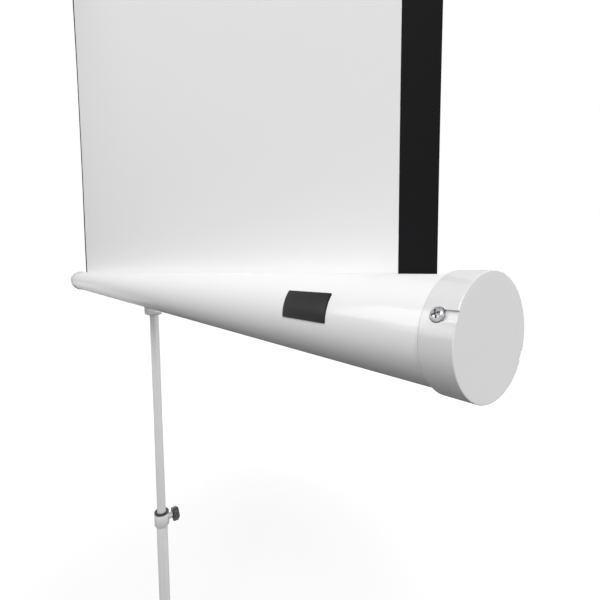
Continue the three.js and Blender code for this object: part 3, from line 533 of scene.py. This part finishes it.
def prism(outline, low, high, rim=0.0, steps=4, origin=(0, 0, 0)):
    """An outline of pairs y, z carried along x; each end draws in along a quarter circle of radius rim."""
    turn = np.linspace(0, QUARTER_TURN, steps) if rim else np.zeros(1)
    depth = rim * (1 - np.sin(turn))
    height = rim * (1 - np.cos(turn))
    rows = [inset(outline, d) if d > 1e-9 else outline for d in (*depth, *depth[::-1])]
    levels = np.concatenate([low + height, (high - height)[::-1]])
    flat = np.stack(rows)
    points = flat[..., :1] * Y + flat[..., 1:] * Z + levels[:, None, None] * X
    count = len(outline)
    faces = quads(len(rows), count, False, True).tolist()
    faces += [list(range(count))[::-1], list(range((len(rows) - 1) * count, len(rows) * count))]
    return (points + np.asarray(origin)).reshape(-1, 3), faces


def shell(front, back):
    """A thin closed sheet from two grids of points, with a rim round all four edges."""
    rows, columns = front.shape[:2]
    grid = quads(rows, columns)
    count = rows * columns
    numbers = np.arange(count).reshape(rows, columns)
    edge = np.concatenate([numbers[0, :-1], numbers[:-1, -1], numbers[-1, :0:-1], numbers[:0:-1, 0]])
    after = np.roll(edge, -1)
    rim = np.column_stack([edge, edge + count, after + count, after])
    points = np.concatenate([front.reshape(-1, 3), back.reshape(-1, 3)])
    return points, np.concatenate([grid, grid[:, ::-1] + count, rim])


def smooth_step(low, high, value):
    """0 below low, 1 above high and 3t^2 - 2t^3 between them."""
    t = np.clip((value - low) / (high - low), 0, 1)
    return t * t * (3 - 2 * t)


def around_case(x, radius, angle):
    """Points at a distance from the case's axis, at an angle upwards from its front."""
    x, radius, angle = np.broadcast_arrays(x, radius, angle)
    return np.stack([x, CASE_Y - radius * np.cos(angle), CASE_Z + radius * np.sin(angle)], -1)


class SCREEN_OT_case(bpy.types.Operator):
    """The round case: a rolled tube whose slot edges turn in, and a bare plate on its front"""

    bl_idname = "screen.case"
    bl_label = "Case tube and plate"

    def execute(self, context):
        """The section: an outer arc, a lip, an inner arc and the other lip, then carried along the case."""
        sheet_back = spans("screen_fabric")[1][1] - CASE_Y
        bore = TUBE_RADIUS - TUBE_WALL
        near, far = sheet_back - SLOT_HALF, sheet_back + SLOT_HALF
        near_wall, far_wall = near - TUBE_WALL, far + TUBE_WALL
        foot = math.sqrt(bore**2 - far_wall**2) - SLOT_LIP
        start, stop = np.arccos(np.array([near, far]) / TUBE_RADIUS)
        outer = arc((0, 0), TUBE_RADIUS, start, stop + FULL_TURN, 180)
        start, stop = np.arccos(np.array([far_wall, near_wall]) / bore)
        inner = arc((0, 0), bore, start + FULL_TURN, stop, 120)
        far_lip = [(far, foot), (far_wall, foot)]
        near_lip = [(near_wall, foot), (near, foot)]
        outline = np.concatenate([outer, far_lip, inner, near_lip])
        radii = np.zeros(len(outline))
        radii[[0, len(outer) - 1]] = SLOT_BEND
        radii[[len(outer), len(outer) + 1, -2, -1]] = LIP_ROUND
        section = rounded(outline, radii)
        points, faces = prism(section, TUBE_LOW[0], TUBE_HIGH[0], origin=(0, CASE_Y, CASE_Z))
        make("case_shell", points, faces, "white_enamel_aluminium", "case", ["case_tube"])
        self.plate(context.scene.screen_sizes)
        return {"FINISHED"}

    @staticmethod
    def plate(sizes):
        """A bare plate bent round the tube: rings of one rounded outline, at angle = height / radius."""
        half = np.array([sizes.plate_length, sizes.plate_height]) / 2
        corner = np.array([(-1, -1), (1, -1), (1, 1), (-1, 1)]) * half
        per_side = 12
        dense = np.linspace(0, 1, per_side, endpoint=False)[:, None]
        sides = [start + dense * (end - start) for start, end in zip(corner, np.roll(corner, -1, 0))]
        radii = np.zeros((4, per_side))
        radii[:, 0] = PLATE_CORNER
        outline = rounded(np.concatenate(sides), radii.ravel())
        # Rings from the front's middle to the back's: share of the outline, and metres off the tube
        share = np.array([0.0, 0.25, 0.5, 0.75, 0.93, 0.985, 1.0, 1.0, 0.5, 0.0])
        lift = np.array([0.8, 0.8, 0.8, 0.8, 0.8, 0.72, 0.5, 0.02, 0.02, 0.02]) * 1e-3
        flat = share[:, None, None] * outline
        x = CASE_FACE - sizes.plate_inset - half[0] + flat[..., 0]
        angle = (half[1] + flat[..., 1]) / TUBE_RADIUS
        points = around_case(x, TUBE_RADIUS + lift[:, None], angle)
        faces = quads(len(share), len(outline), False, True)
        make("bare_plate", points, faces, "dark_plastic", "case", finish="bare_plate")


class SCREEN_OT_caps(bpy.types.Operator):
    """The two end caps: a filleted cover and skirt with a screw channel on opposite sides"""

    bl_idname = "screen.caps"
    bl_label = "End caps"

    def execute(self, context):
        self.cap("right", 1)
        self.cap("left", -1)
        return {"FINISHED"}

    @staticmethod
    def cap(side, end):
        """A profile turned about the case; where a channel's mask m is 1 the radius r falls to its floor f.

        The radius is r - m (r - f), and m rises smoothly from 0 to 1 across the channel's edge.
        """
        inside = CASE_FACE - CAP_DISC
        rim = CASE_FACE - CAP_LENGTH
        bore = CAP_RADIUS - CAP_SKIRT
        turn = np.linspace(0, QUARTER_TURN, 9)
        flat = CAP_RADIUS - CAP_FILLET
        fillet_x = CASE_FACE - CAP_FILLET * (1 - np.cos(turn))
        fillet = np.column_stack([flat + CAP_FILLET * np.sin(turn), fillet_x])
        face_radius = np.linspace(0, flat, 14)[:-1]
        face = np.column_stack([face_radius, np.full(len(face_radius), CASE_FACE)])
        skirt_x = np.linspace(CASE_FACE - CAP_FILLET, rim + CAP_RIM_LENGTH, 96)[1:]
        skirt = np.column_stack([np.full(len(skirt_x), CAP_RADIUS), skirt_x])
        hidden = [
            (CAP_RADIUS - CAP_RIM_DEPTH, rim),
            (bore + CAP_EASE, rim),
            (bore, rim + CAP_EASE),
            (bore, inside),
            (BOSS_RADIUS, inside),
            (BOSS_RADIUS, inside - BOSS_LENGTH),
            (BOSS_BORE, inside - BOSS_LENGTH),
            (BOSS_BORE, inside - FIT),
            (0, inside - FIT),
        ]
        profile = np.concatenate([face, fillet, skirt, hidden])
        middles = np.radians([SCREW_ANGLE, SCREW_ANGLE + 180])
        dense = np.linspace(-CHANNEL_ZONE, CHANNEL_ZONE, 79) / CAP_RADIUS
        coarse = np.linspace(0, FULL_TURN, 120, endpoint=False)
        off = np.abs((coarse[:, None] - middles + math.pi) % FULL_TURN - math.pi).min(1)
        kept = coarse[off > dense[-1] + CHANNEL_MARGIN]
        angle = np.sort(np.concatenate([kept, middles[0] + dense, middles[1] + dense]))
        radius, x = profile[:, :1], profile[:, 1:]
        screw_x = CASE_FACE - SCREW_INSET
        floor = CAP_RADIUS - CHANNEL_DEPTH
        apart = (angle - middles[:, None] + math.pi) % FULL_TURN - math.pi
        aside = np.abs(apart * CAP_RADIUS).min(0)[None, :]
        round_end = np.hypot(aside, np.minimum(x - screw_x, 0)) - CHANNEL_HALF
        seat = np.hypot(aside, x - screw_x) - SCREW_HEAD - FIT
        cut = smooth_step(-CHANNEL_EDGE, CHANNEL_EDGE, -np.minimum(round_end, seat))
        outside = (np.arange(len(profile)) < len(profile) - len(hidden))[:, None]
        drawn = radius - np.where(outside, cut, 0) * np.maximum(radius - floor, 0)
        points = around_case(end * x, drawn, angle[None, :])
        faces = quads(len(profile), len(angle), False, True)
        make(f"{side}_cap", points, faces, "white_plastic", "case", [f"end_cap_{side}"])


class SCREEN_OT_cap_screws(bpy.types.Operator):
    """The caps' four pan-headed screws, each with a cross recess"""

    bl_idname = "screen.cap_screws"
    bl_label = "Cap screws"

    def execute(self, context):
        for side, end in (("right", 1), ("left", -1)):
            for place, degrees in (("front", SCREW_ANGLE), ("back", SCREW_ANGLE + 180)):
                self.screw(f"cap_screw_{side}_{place}", end, math.radians(degrees))
        return {"FINISHED"}

    @staticmethod
    def arm(across, along):
        """1 where |across| < half the recess's width and |along| < its reach, with soft edges, else 0."""
        inside = smooth_step(-RECESS_EDGE, RECESS_EDGE, RECESS_HALF - np.abs(across))
        return inside * smooth_step(-RECESS_END, RECESS_END, RECESS_REACH - np.abs(along))

    def screw(self, node, end, angle):
        """Height over the head: a flat dome less a cross that deepens inwards; under it stands the shank."""
        seat = CAP_RADIUS - CHANNEL_DEPTH + FIT
        share = np.linspace(0, 1, 34)
        turn = np.linspace(0, FULL_TURN, 96, endpoint=False)
        u = SCREW_HEAD * share[:, None] * np.cos(turn)
        v = SCREW_HEAD * share[:, None] * np.sin(turn)
        dome = SCREW_HEIGHT * (1 - SCREW_FALL * share**2 - SCREW_EDGE * share**8)[:, None]
        deep = RECESS_DEPTH * (1 - RECESS_TAPER * share)[:, None]
        height = dome - np.maximum(self.arm(u, v), self.arm(v, u)) * deep
        thin = SCREW_SHANK / SCREW_HEAD
        shank = np.array([(1, 0), (thin, 0), (thin, -SHANK_LENGTH), (0, -SHANK_LENGTH)])
        low_u = SCREW_HEAD * shank[:, :1] * np.cos(turn)
        low_v = SCREW_HEAD * shank[:, :1] * np.sin(turn)
        low_height = shank[:, 1:] * np.ones(len(turn))
        u, v = np.concatenate([u, low_u]), np.concatenate([v, low_v])
        height = np.concatenate([height, low_height])
        out = np.array([0, -math.cos(angle), math.sin(angle)])
        aside = np.cross(out, X)
        tilt = math.radians(SCREW_TURN)
        first = math.cos(tilt) * X + math.sin(tilt) * aside
        second = math.cos(tilt) * aside - math.sin(tilt) * X
        origin = np.array([end * (CASE_FACE - SCREW_INSET), CASE_Y, CASE_Z]) + seat * out
        points = origin + u[..., None] * first + v[..., None] * second + height[..., None] * out
        faces = quads(len(height), len(turn), False, True)
        make(f"{node}_head", points, faces, "chrome_screw", "case", [node])


class SCREEN_OT_sheet(bpy.types.Operator):
    """The sheet: a white face on a black backing that shows as side borders, and its turns on the roller"""

    bl_idname = "screen.sheet"
    bl_label = "Projection sheet"

    def execute(self, context):
        depth = context.scene.screen_sizes.sheet_wave
        roll = self.turns_on_roller()
        face = self.layer("picture_face", "screen_fabric", "white_screen_vinyl", depth, 0.0)
        back = self.layer("sheet_backing", "fabric_backing", "black_screen_vinyl", depth, BACK_GAP)
        for piece, pieces in ((face, []), (back, [roll])):
            corners = vertices(piece.data)
            low, wide = corners.min(0), np.ptp(corners[:, 0])
            left = (spans("top_bar")[0][2] - BAR_TRAVEL - low[2] + HEM) / self.height()
            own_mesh(piece)
        return {"FINISHED"}

    @staticmethod
    def height():
        """The flat sheet's height, from its lower end by the roller to its hem in the bar."""
        low, high = spans("fabric_backing")
        return float(high[2] - low[2])

    @staticmethod
    def layer(name, node, slot, depth, gap):
        """y + depth w(x, z): slack waves and a curl at the edges that die out at the slot and the bar."""
        low, high = spans(node)
        half = spans("fabric_backing")[1][0]
        x = np.linspace(low[0], high[0], SHEET_POINTS)[None, :]
        z = np.linspace(low[2], high[2], SHEET_POINTS)[:, None]
        up = (z - low[2]) / (high[2] - low[2])
        free = smooth_step(*FREE_FROM_SLOT, up) * smooth_step(*FREE_FROM_BAR, 1 - up)
        waves = sum(share * np.sin(across * x + rise * up + at) for share, across, rise, at in SHEET_WAVES)
        curl = EDGE_CURL * np.abs(x / half) ** EDGE_POWER
        shift = depth * free * (waves + curl)
        front = np.stack(np.broadcast_arrays(x, low[1] + gap + shift, z), -1)
        back = front + np.array([0, high[1] - low[1] - gap, 0])
        points, faces = shell(front, back)
        return make(name, points, faces, slot, "case", [node])

    @staticmethod
    def turns_on_roller():
        """Turns of cloth left on the roller: outside, r = R - t v / 2 pi, so that a turn ends in a step."""
        low, high = spans("fabric_wraps")
        outer = (high[2] - low[2]) / 2
        inner = outer - WRAPS
        ends = [(inner, low[0]), (outer, low[0]), (outer, high[0]), (inner, high[0])]

        def spiral(radius, turn):
            return radius - np.where(radius > inner, CLOTH * turn / FULL_TURN, 0)

        points, faces = lathe(ends, (0, CASE_Y, CASE_Z), X, 96, spiral)
        return make("sheet_turns", points, faces, "white_screen_vinyl", "roller", ["fabric_wraps"])


def round_radius(node):
    """The radius of an upright round CAD node."""
    low, high = spans(node)
    return (high[0] - low[0]) / 2


def tube(node, wall, name, slot, body):
    """A round tube on the column's axis with its rims eased."""
    low, high = spans(node)
    radius = round_radius(node)
    profile = [(radius - wall, low[2]), (radius, low[2]), (radius, high[2]), (radius - wall, high[2])]
    points, faces = lathe(rounded(profile, TUBE_RIM, 4), COLUMN_AXIS, Z)
    return make(name, points, faces, slot, body, [node])


class SCREEN_OT_poles(bpy.types.Operator):
    """The column, the mast and the two rods as smooth enamelled tubes"""

    bl_idname = "screen.poles"
    bl_label = "Column, mast and rods"

    def execute(self, context):
        tube("column_tube", COLUMN_WALL, "column_pole", "white_enamel_steel", "stand")
        tube("mast_tube", ROD_WALL, "mast_pole", "white_enamel_steel", "mast")
        tube("lower_rod", ROD_WALL, "lower_pole", "white_enamel_steel", "lower_stage")
        tube("upper_rod", ROD_WALL, "upper_pole", "white_enamel_steel", "upper_stage")
        return {"FINISHED"}


class SCREEN_OT_knobs(bpy.types.Operator):
    """The three lobed hand knobs, each with a dished face, a hub disc and its stud"""

    bl_idname = "screen.knobs"
    bl_label = "Hand knobs"

    def execute(self, context):
        turn = math.radians(CROWN_KNOB_TURN)
        aside = math.cos(turn) * X + math.sin(turn) * Y
        self.knob("column_lock_knob", "column_knob", Y, thickness=0.015, stud=0.003)
        self.knob("crown_lock_knob", "crown_knob", aside, thickness=0.015, stud=0.003)
        self.knob("rod_lock_knob", "rod_knob", -X, thickness=0.012, stud=0.0025)
        return {"FINISHED"}

    @staticmethod
    def knob(node, body, axis, thickness, stud):
        """A knob whose radius is r (1 - d g (1 - cos n v)): n lobes, where g fades from rim to hub."""
        corners = vertices(frame["nodes"][node].data)
        origin = COLUMN_AXIS + Z * middle(node)[2]
        along = (corners - origin) @ axis
        far, near = along.max(), along.min()
        reach = np.linalg.norm((corners - origin) - along[:, None] * axis, axis=1).max()
        back = far - thickness
        # Each corner's radius, its place along the axis and its rounding
        table = np.array(
            [
                (0, near, 0),
                (stud, near, 0.0003),
                (stud, back, 0.0002),
                (reach * 0.55, back, 0.0005),
                (reach * 0.62, back + 0.0008, 0.0006),
                (reach, back + 0.0012, 0.0032),
                (reach, far - 0.0006, 0.0032),
                (reach * 0.62, far, 0.0022),
                (reach * 0.50, far - 0.0016, 0.0006),
                (reach * 0.46, far - 0.0016, 0.0004),
                (reach * 0.42, far - 0.0004, 0.0006),
                (0, far - 0.0001, 0),
            ]
        )
        pairs = rounded(table[:, :2], table[:, 2], 6)

        def lobes(radius, turn):
            fade = smooth_step(reach * 0.64, reach * 0.86, radius)
            return radius * (1 - LOBE_DEPTH * fade * (1 - np.cos(LOBES * turn)))

        points, faces = lathe(pairs, origin, axis, 120, lobes, round_rows=False)
        make(f"{body}_grip", points, faces, "dark_plastic", body, [node])


class SCREEN_OT_rod_fittings(bpy.types.Operator):
    """The fluted twist collar on the rods"""

    bl_idname = "screen.rod_fittings"
    bl_label = "Twist collar"

    def execute(self, context):
        """A collar whose radius is r (1 - d g (1 - cos n v)): n flutes, where g is 1 on the grip alone."""
        low, high = spans("rod_twist_collar")
        outer = round_radius("rod_twist_collar")
        rod = round_radius("lower_rod") + ROD_PLAY
        neck = round_radius("upper_rod") + ROD_PLAY
        bottom, top = low[2], high[2]
        shelf = spans("lower_rod")[1][2] + FIT
        # Each corner's radius, its height and its rounding
        table = np.array(
            [
                (rod, bottom, 0.0003),
                (outer * 0.90, bottom, 0.0005),
                (outer * 0.90, bottom + 0.002, 0.0004),
                (outer, bottom + 0.0032, 0.0008),
                (outer, top - 0.0042, 0.0018),
                (outer * 0.84, top - 0.0016, 0.0012),
                (outer * 0.74, top, 0.0008),
                (neck, top, 0.0004),
                (neck, shelf, 0),
                (rod, shelf, 0),
            ]
        )
        pairs = rounded(table[:, :2], table[:, 2], 6)

        def flutes(radius, turn):
            grip = smooth_step(outer * 0.91, outer * 0.99, radius)
            return radius * (1 - FLUTE_DEPTH * grip * (1 - np.cos(FLUTES * turn)))

        points, faces = lathe(pairs, COLUMN_AXIS, Z, 144, flutes)
        make("twist_grip", points, faces, "dark_plastic", "twist_collar", ["rod_twist_collar"])
        return {"FINISHED"}


class SCREEN_OT_bar(bpy.types.Operator):
    """The top bar with its groove, its end caps and the bent hanger"""

    bl_idname = "screen.bar"
    bl_label = "Top bar"

    def execute(self, context):
        """A flat foot with a groove under a half round top, carried along x; the caps have no groove."""
        low, high = spans("top_bar")
        half = (high[1] - low[1]) / 2
        tall = high[2] - low[2]
        origin = (0, (low[1] + high[1]) / 2, low[2])
        dome = arc((0, tall - half), half, 0, math.pi, 25)
        groove = np.array([(-1, 0), (-1, 1), (1, 1), (1, 0)]) * (GROOVE_HALF, GROOVE_DEPTH)
        closed = np.concatenate([[(half, 0)], dome, [(-half, 0)]])
        closed_radii = np.concatenate([[BAR_ROUND], np.zeros(len(dome)), [BAR_ROUND]])
        groove_radii = [GROOVE_ROUND, 0, 0, GROOVE_ROUND]
        outline = rounded(np.concatenate([closed, groove]), np.concatenate([closed_radii, groove_radii]))
        points, faces = prism(outline, low[0], high[0], origin=origin)
        make("bar_profile", points, faces, "white_enamel_aluminium", "bar", ["top_bar"])
        plain = rounded(closed, closed_radii)
        for side in ("right", "left"):
            ends = [spans(f"bar_cap_{side}")[k][0] for k in (0, 1)]
            points, faces = prism(plain, *ends, rim=BAR_CAP_RIM, steps=6, origin=origin)
            make(f"bar_end_{side}", points, faces, "dark_plastic", "bar", [f"bar_cap_{side}"])
        self.hanger()
        return {"FINISHED"}

    @staticmethod
    def hanger():
        """A strip of plate bent twice: an outline of one thickness, rounded at its bends, carried across."""
        low, high = spans("bar_hanger")
        hook = spans("hook_head")[0][2] + HOOK_LIP + FIT
        left, right, top = low[1], high[1], high[2]
        inner_left, inner_right, under = left + HANGER_PLATE, right - HANGER_PLATE, top - HANGER_PLATE
        # Each corner's two coordinates and its rounding
        table = np.array(
            [
                (left, low[2], 0.0004),
                (inner_left, low[2], 0.0004),
                (inner_left, under, 0.0014),
                (inner_right, under, 0.0014),
                (inner_right, hook, 0.0006),
                (right, hook, 0.0006),
                (right, top, 0.0035),
                (left, top, 0.0035),
            ]
        )
        outline = rounded(table[:, :2], table[:, 2], 6)
        points, faces = prism(outline, low[0], high[0], rim=HANGER_EDGE, steps=3)
        make("hanger_strip", points, faces, "zinc_steel", "bar", ["bar_hanger"])


class SCREEN_OT_pins(bpy.types.Operator):
    """The legs' six riveted pins with domed heads"""

    bl_idname = "screen.pins"
    bl_label = "Leg pins"

    def execute(self, context):
        for number, (leg, azimuth) in enumerate(LEG_TURNS, 1):
            turn = math.radians(azimuth)
            across = math.cos(turn) * Y - math.sin(turn) * X
            self.pin(f"leg_pin_{number}", "crown", across)
            self.pin(f"brace_pin_{number}", f"{leg}_leg", across)
        return {"FINISHED"}

    @staticmethod
    def pin(node, body, across):
        """A turned pin: each head is a flat dome r = w cos t, a = h sin t on a short rim."""
        turn = np.linspace(0, QUARTER_TURN, 7)
        dome = np.column_stack([PIN_HEAD * np.cos(turn), PIN_START + PIN_RIM + PIN_DOME * np.sin(turn)])
        rim = [(PIN_SHANK, 0), (PIN_SHANK, PIN_START), (PIN_HEAD, PIN_START)]
        upper = np.concatenate([rim, dome])
        lower = upper[::-1] * (1, -1)
        pairs = np.concatenate([lower, upper[1:]])
        points, faces = lathe(pairs, middle(node), across, 40, round_rows=False)
        make(f"{node}_rivet", points, faces, "zinc_steel", body, [node])


class SCREEN_OT_handle(bpy.types.Operator):
    """The carrying handle: a loop whose section swells where the fingers close"""

    bl_idname = "screen.handle"
    bl_label = "Carrying handle"

    def execute(self, context):
        """(O + I) / 2 + (O - I) / 2 c + X w k: a rounded square c, k carried between the loops O and I.

        The width w narrows away from the grip, and waves for the fingers stand on the grip's inner side.
        """
        low, high = spans("carry_handle")
        outer = self.loop((low[1], low[2]), (high[1], high[2]), HANDLE_BAR)
        inner_low = (low[1] + HANDLE_FRONT, low[2] + HANDLE_BAR)
        inner = self.loop(inner_low, (high[1] - HANDLE_BAR, high[2] - HANDLE_BAR), HANDLE_FRONT)
        turn = np.linspace(0, FULL_TURN, 40, endpoint=False)
        square = np.stack([np.cos(turn), np.sin(turn)])
        across, aside = np.sign(square) * np.abs(square) ** HANDLE_SOFT
        mid, arm = (outer + inner) / 2, (outer - inner) / 2
        flat = mid[:, None] + arm[:, None] * across[:, None]
        grip = smooth_step(high[1] - GRIP_ZONE[0], high[1] - GRIP_ZONE[1], mid[:, 0])
        width = (high[0] - low[0]) / 2 * (1 - HANDLE_WAIST * (1 - grip))
        finger = FINGER_DEPTH * grip * np.cos((mid[:, 1] - low[2]) * FULL_TURN / FINGER_PITCH)
        flat[..., 0] += np.where(across < 0, finger[:, None], 0)
        points = np.stack([width[:, None] * aside, flat[..., 0], flat[..., 1]], -1)
        faces = quads(len(outer), len(turn), True, True)
        make("carry_loop", points, faces, "dark_plastic", "mast", ["carry_handle"], sharp=HANDLE_SHARP)
        return {"FINISHED"}

    @staticmethod
    def loop(low, high, radius):
        """A rounded rectangle with the same count of points on each side and corner as any other."""
        corners = np.array([(low[0], low[1]), (high[0], low[1]), (high[0], high[1]), (low[0], high[1])])
        inward = np.array([(1, 1), (-1, 1), (-1, -1), (1, -1)]) * radius
        starts = np.radians([180, 270, 0, 90])
        turns = [arc(c + i, radius, a, a + QUARTER_TURN, 13) for c, i, a in zip(corners, inward, starts)]
        runs = []
        dense = np.linspace(0, 1, 26)[1:-1, None]
        for bend, after in zip(turns, turns[1:] + turns[:1]):
            runs += [bend, bend[-1] + dense * (after[0] - bend[-1])]
        return np.concatenate(runs)


class SCREEN_OT_dress_frame(bpy.types.Operator):
    """Finishes for the frame's own pieces: their slot's material, merged corners and eased edges"""

    bl_idname = "screen.dress_frame"
    bl_label = "Frame finishes"

    def execute(self, context):
        rim = context.scene.screen_sizes.rim
        for part in frame["record"]["subparts"]:
            node = frame["nodes"][part["node"]]
            if node.hide_render:
                continue
            node.data.materials.clear()
            node.data.materials.append(FINISHES[part["material_slot"]])
            node.data.shade_smooth()
            weld = node.modifiers.new("weld", "WELD")
            weld.merge_threshold = NODE_SEAM
            bevel = node.modifiers.new("edges", "BEVEL")
            bevel.limit_method = "ANGLE"
            bevel.angle_limit = math.radians(BEVEL_ANGLE)
            bevel.width = rim
            bevel.segments = 2
            bevel.harden_normals = True
            bevel.use_clamp_overlap = True
        return {"FINISHED"}


# The photograph's view: 600 by 600 pixels, angles in degrees, place in metres from the right cap's middle
PHOTO_PIXELS = 600
FOCAL_PIXELS = 389.3
CAMERA_TURN = 54.325
CAMERA_TILT = -4.459
CAMERA_ROLL = 0.470
CAMERA_FROM_CAP = (0.10489, -0.19866, 0.03646)
CLIP_START = 0.005
SENSOR = 36

# Strength of the sky for scattered light; to the eye, in gloss and through glass it is 1
SKY_LIGHT = 0.40

# The floor: half its width, its colours, and its glow from close to the stand to well away from it
FLOOR_HALF = 60.0
FLOOR_WHITE = (0.45, 0.45, 0.45)
FLOOR_DARK = (0.04, 0.04, 0.04)
GLOW_NEAR, GLOW_FAR = 0.56, 0.88
NEAR_STAND, OFF_STAND = 0.5, 2.6

# Soft boxes: name, place, aim, width and height in metres, and power in watts
LAMPS = (
    ("key_box", (2.34, -1.68, 3.37), (0.6, -0.18, 1.2), (1.6, 1.6), 66),
    ("left_box", (-1.45, CASE_Y - 2.3, CASE_Z + 1.3), (0.75, CASE_Y, CASE_Z), (0.9, 1.5), 14),
    ("front_box", (0.0, -2.5, 1.56), (0.0, -0.18, 1.56), (2.4, 0.8), 10),
    ("side_box", (3.0, 0.7, 1.25), (0.3, -0.15, 1.2), (1.0, 1.0), 19),
    ("far_box", (-3.2, -0.10, 0.7), (-0.8, -0.13, CASE_Z), (1.1, 0.8), 12),
    ("back_box", (0.5, 3.0, 2.0), (0.0, -0.13, 1.2), (2.2, 2.2), 46),
)


class SCREEN_OT_stage(bpy.types.Operator):
    """The white studio: floor, soft sky, lamps and the photograph's camera"""

    bl_idname = "screen.stage"
    bl_label = "Stage"

    def execute(self, context):
        scene = context.scene
        scene.view_settings.view_transform = "Standard"
        self.camera(scene)
        self.world(scene)
        self.floor()
        for lamp in LAMPS:
            self.lamp(*lamp)
        return {"FINISHED"}

    @staticmethod
    def camera(scene):
        """A camera that looks along y and is then rolled, tilted and turned, placed from the right cap."""
        data = bpy.data.cameras.new("photo_view")
        data.sensor_width = SENSOR
        data.lens = SENSOR * FOCAL_PIXELS / PHOTO_PIXELS
        data.clip_start = CLIP_START
        camera = bpy.data.objects.new("photo_view", data)
        scene.collection.objects.link(camera)
        turn = Matrix.Rotation(math.radians(CAMERA_TURN), 3, "Z")
        tilt = Matrix.Rotation(math.radians(CAMERA_TILT), 3, "X")
        roll = Matrix.Rotation(math.radians(CAMERA_ROLL), 3, "Y")
        upright = Matrix(((1, 0, 0), (0, 0, -1), (0, 1, 0)))
        camera.matrix_world = (turn @ tilt @ roll @ upright).to_4x4()
        camera.location = np.array([CASE_FACE, CASE_Y, CASE_Z]) + CAMERA_FROM_CAP
        scene.camera = camera

    @staticmethod
    def shown(tree):
        """1 for rays from the camera, in gloss and through glass, else 0."""
        rays = ("Is Camera Ray", "Is Glossy Ray", "Is Transmission Ray")
        direct, gloss, through = (tree.node("ShaderNodeLightPath", output=ray) for ray in rays)
        return direct.math("MAXIMUM", gloss).math("MAXIMUM", through)

    @staticmethod
    def rise(tree, value, start, stop, low, high):
        """Rises smoothly from low to high while the value goes from start to stop."""
        ends = {"Value": value, "From Min": start, "From Max": stop, "To Min": low, "To Max": high}
        return tree.node("ShaderNodeMapRange", {"interpolation_type": "SMOOTHSTEP"}, ends)

    def world(self, scene):
        """Soft light, and white to the eye, in gloss and through glass."""
        scene.world = bpy.data.worlds.new("white_studio")
        tree = Tree(scene.world)
        soft = tree.node("ShaderNodeBackground", {}, {"Color": (1, 1, 1), "Strength": SKY_LIGHT})
        white = tree.node("ShaderNodeBackground", {}, {"Color": (1, 1, 1), "Strength": 1.0})
        sky = tree.node("ShaderNodeMixShader", {}, {0: self.shown(tree), 1: soft, 2: white})
        tree.node("ShaderNodeOutputWorld", {}, {"Surface": sky})

    def floor(self):
        """A wide floor: dark to scattered light, else white, with a glow that leaves the stand's shadow."""
        finish = Finish("studio_floor")
        where = finish.node("ShaderNodeTexCoord", output="Object")
        away = finish.node("ShaderNodeVectorMath", {"operation": "LENGTH"}, {0: where}, output="Value")
        level = self.rise(finish, away, NEAR_STAND, OFF_STAND, GLOW_NEAR, GLOW_FAR)
        lit = finish.node("ShaderNodeBsdfDiffuse", {}, {"Color": FLOOR_WHITE})
        glow = finish.node("ShaderNodeEmission", {}, {"Color": level, "Strength": 1.0})
        white = finish.node("ShaderNodeAddShader", {}, {0: lit, 1: glow})
        dark = finish.node("ShaderNodeBsdfDiffuse", {}, {"Color": FLOOR_DARK})
        mixed = finish.node("ShaderNodeMixShader", {}, {0: self.shown(finish), 1: dark, 2: white})
        finish.node("ShaderNodeOutputMaterial", {}, {"Surface": mixed})
        mesh = bpy.data.meshes.new("studio_floor")
        corners = np.array([(-1, -1, 0), (1, -1, 0), (1, 1, 0), (-1, 1, 0)]) * FLOOR_HALF
        mesh.from_pydata(corners.tolist(), [], [(0, 1, 2, 3)])
        mesh.materials.append(finish.material)
        floor = bpy.data.objects.new("studio_floor", mesh)
        bpy.context.scene.collection.objects.link(floor)

    @staticmethod
    def lamp(name, place, aim, size, power):
        """A soft box: a lit rectangle at a place, turned towards its aim."""
        data = bpy.data.lights.new(name, "AREA")
        data.shape, data.energy = "RECTANGLE", power
        data.size, data.size_y = size
        lamp = bpy.data.objects.new(name, data)
        bpy.context.scene.collection.objects.link(lamp)
        lamp.location = place
        look = np.array(aim, float) - place
        lamp.rotation_euler = Vector(look).to_track_quat("-Z", "Y").to_euler()


PIECES = (
    SCREEN_OT_case,
    SCREEN_OT_caps,
    SCREEN_OT_cap_screws,
    SCREEN_OT_sheet,
    SCREEN_OT_poles,
    SCREEN_OT_knobs,
    SCREEN_OT_rod_fittings,
    SCREEN_OT_bar,
    SCREEN_OT_pins,
    SCREEN_OT_handle,
    SCREEN_OT_dress_frame,
    SCREEN_OT_stage,
)


class SCREEN_PT_sidebar(bpy.types.Panel):
    """The screen's pieces and sizes"""

    bl_idname = "SCREEN_PT_sidebar"
    bl_label = "Projection screen"
    bl_space_type = "VIEW_3D"
    bl_region_type = "UI"
    bl_category = "Screen"

    def draw(self, context):
        for group in (context.scene.screen_sizes, context.scene.screen_colours):
            for name in group.bl_rna.properties.keys():
                if name not in ("rna_type", "name"):
                    self.layout.prop(group, name)
        for piece in PIECES:
            self.layout.operator(piece.bl_idname)


CLASSES = (ScreenSizes, ScreenColours, *PIECES, SCREEN_PT_sidebar)


def register():
    for kind in CLASSES:
        bpy.utils.register_class(kind)
    bpy.types.Scene.screen_sizes = PointerProperty(type=ScreenSizes)
    bpy.types.Scene.screen_colours = PointerProperty(type=ScreenColours)


def unregister():
    del bpy.types.Scene.screen_colours
    del bpy.types.Scene.screen_sizes
    for kind in reversed(CLASSES):
        bpy.utils.unregister_class(kind)


def main():
    register()
    make_finishes(bpy.context.scene.screen_colours)
    for piece in PIECES:
        group, name = piece.bl_idname.split(".")
        getattr(getattr(bpy.ops, group), name)()
    bpy.context.view_layer.update()


if __name__ == "__main__":
    main()
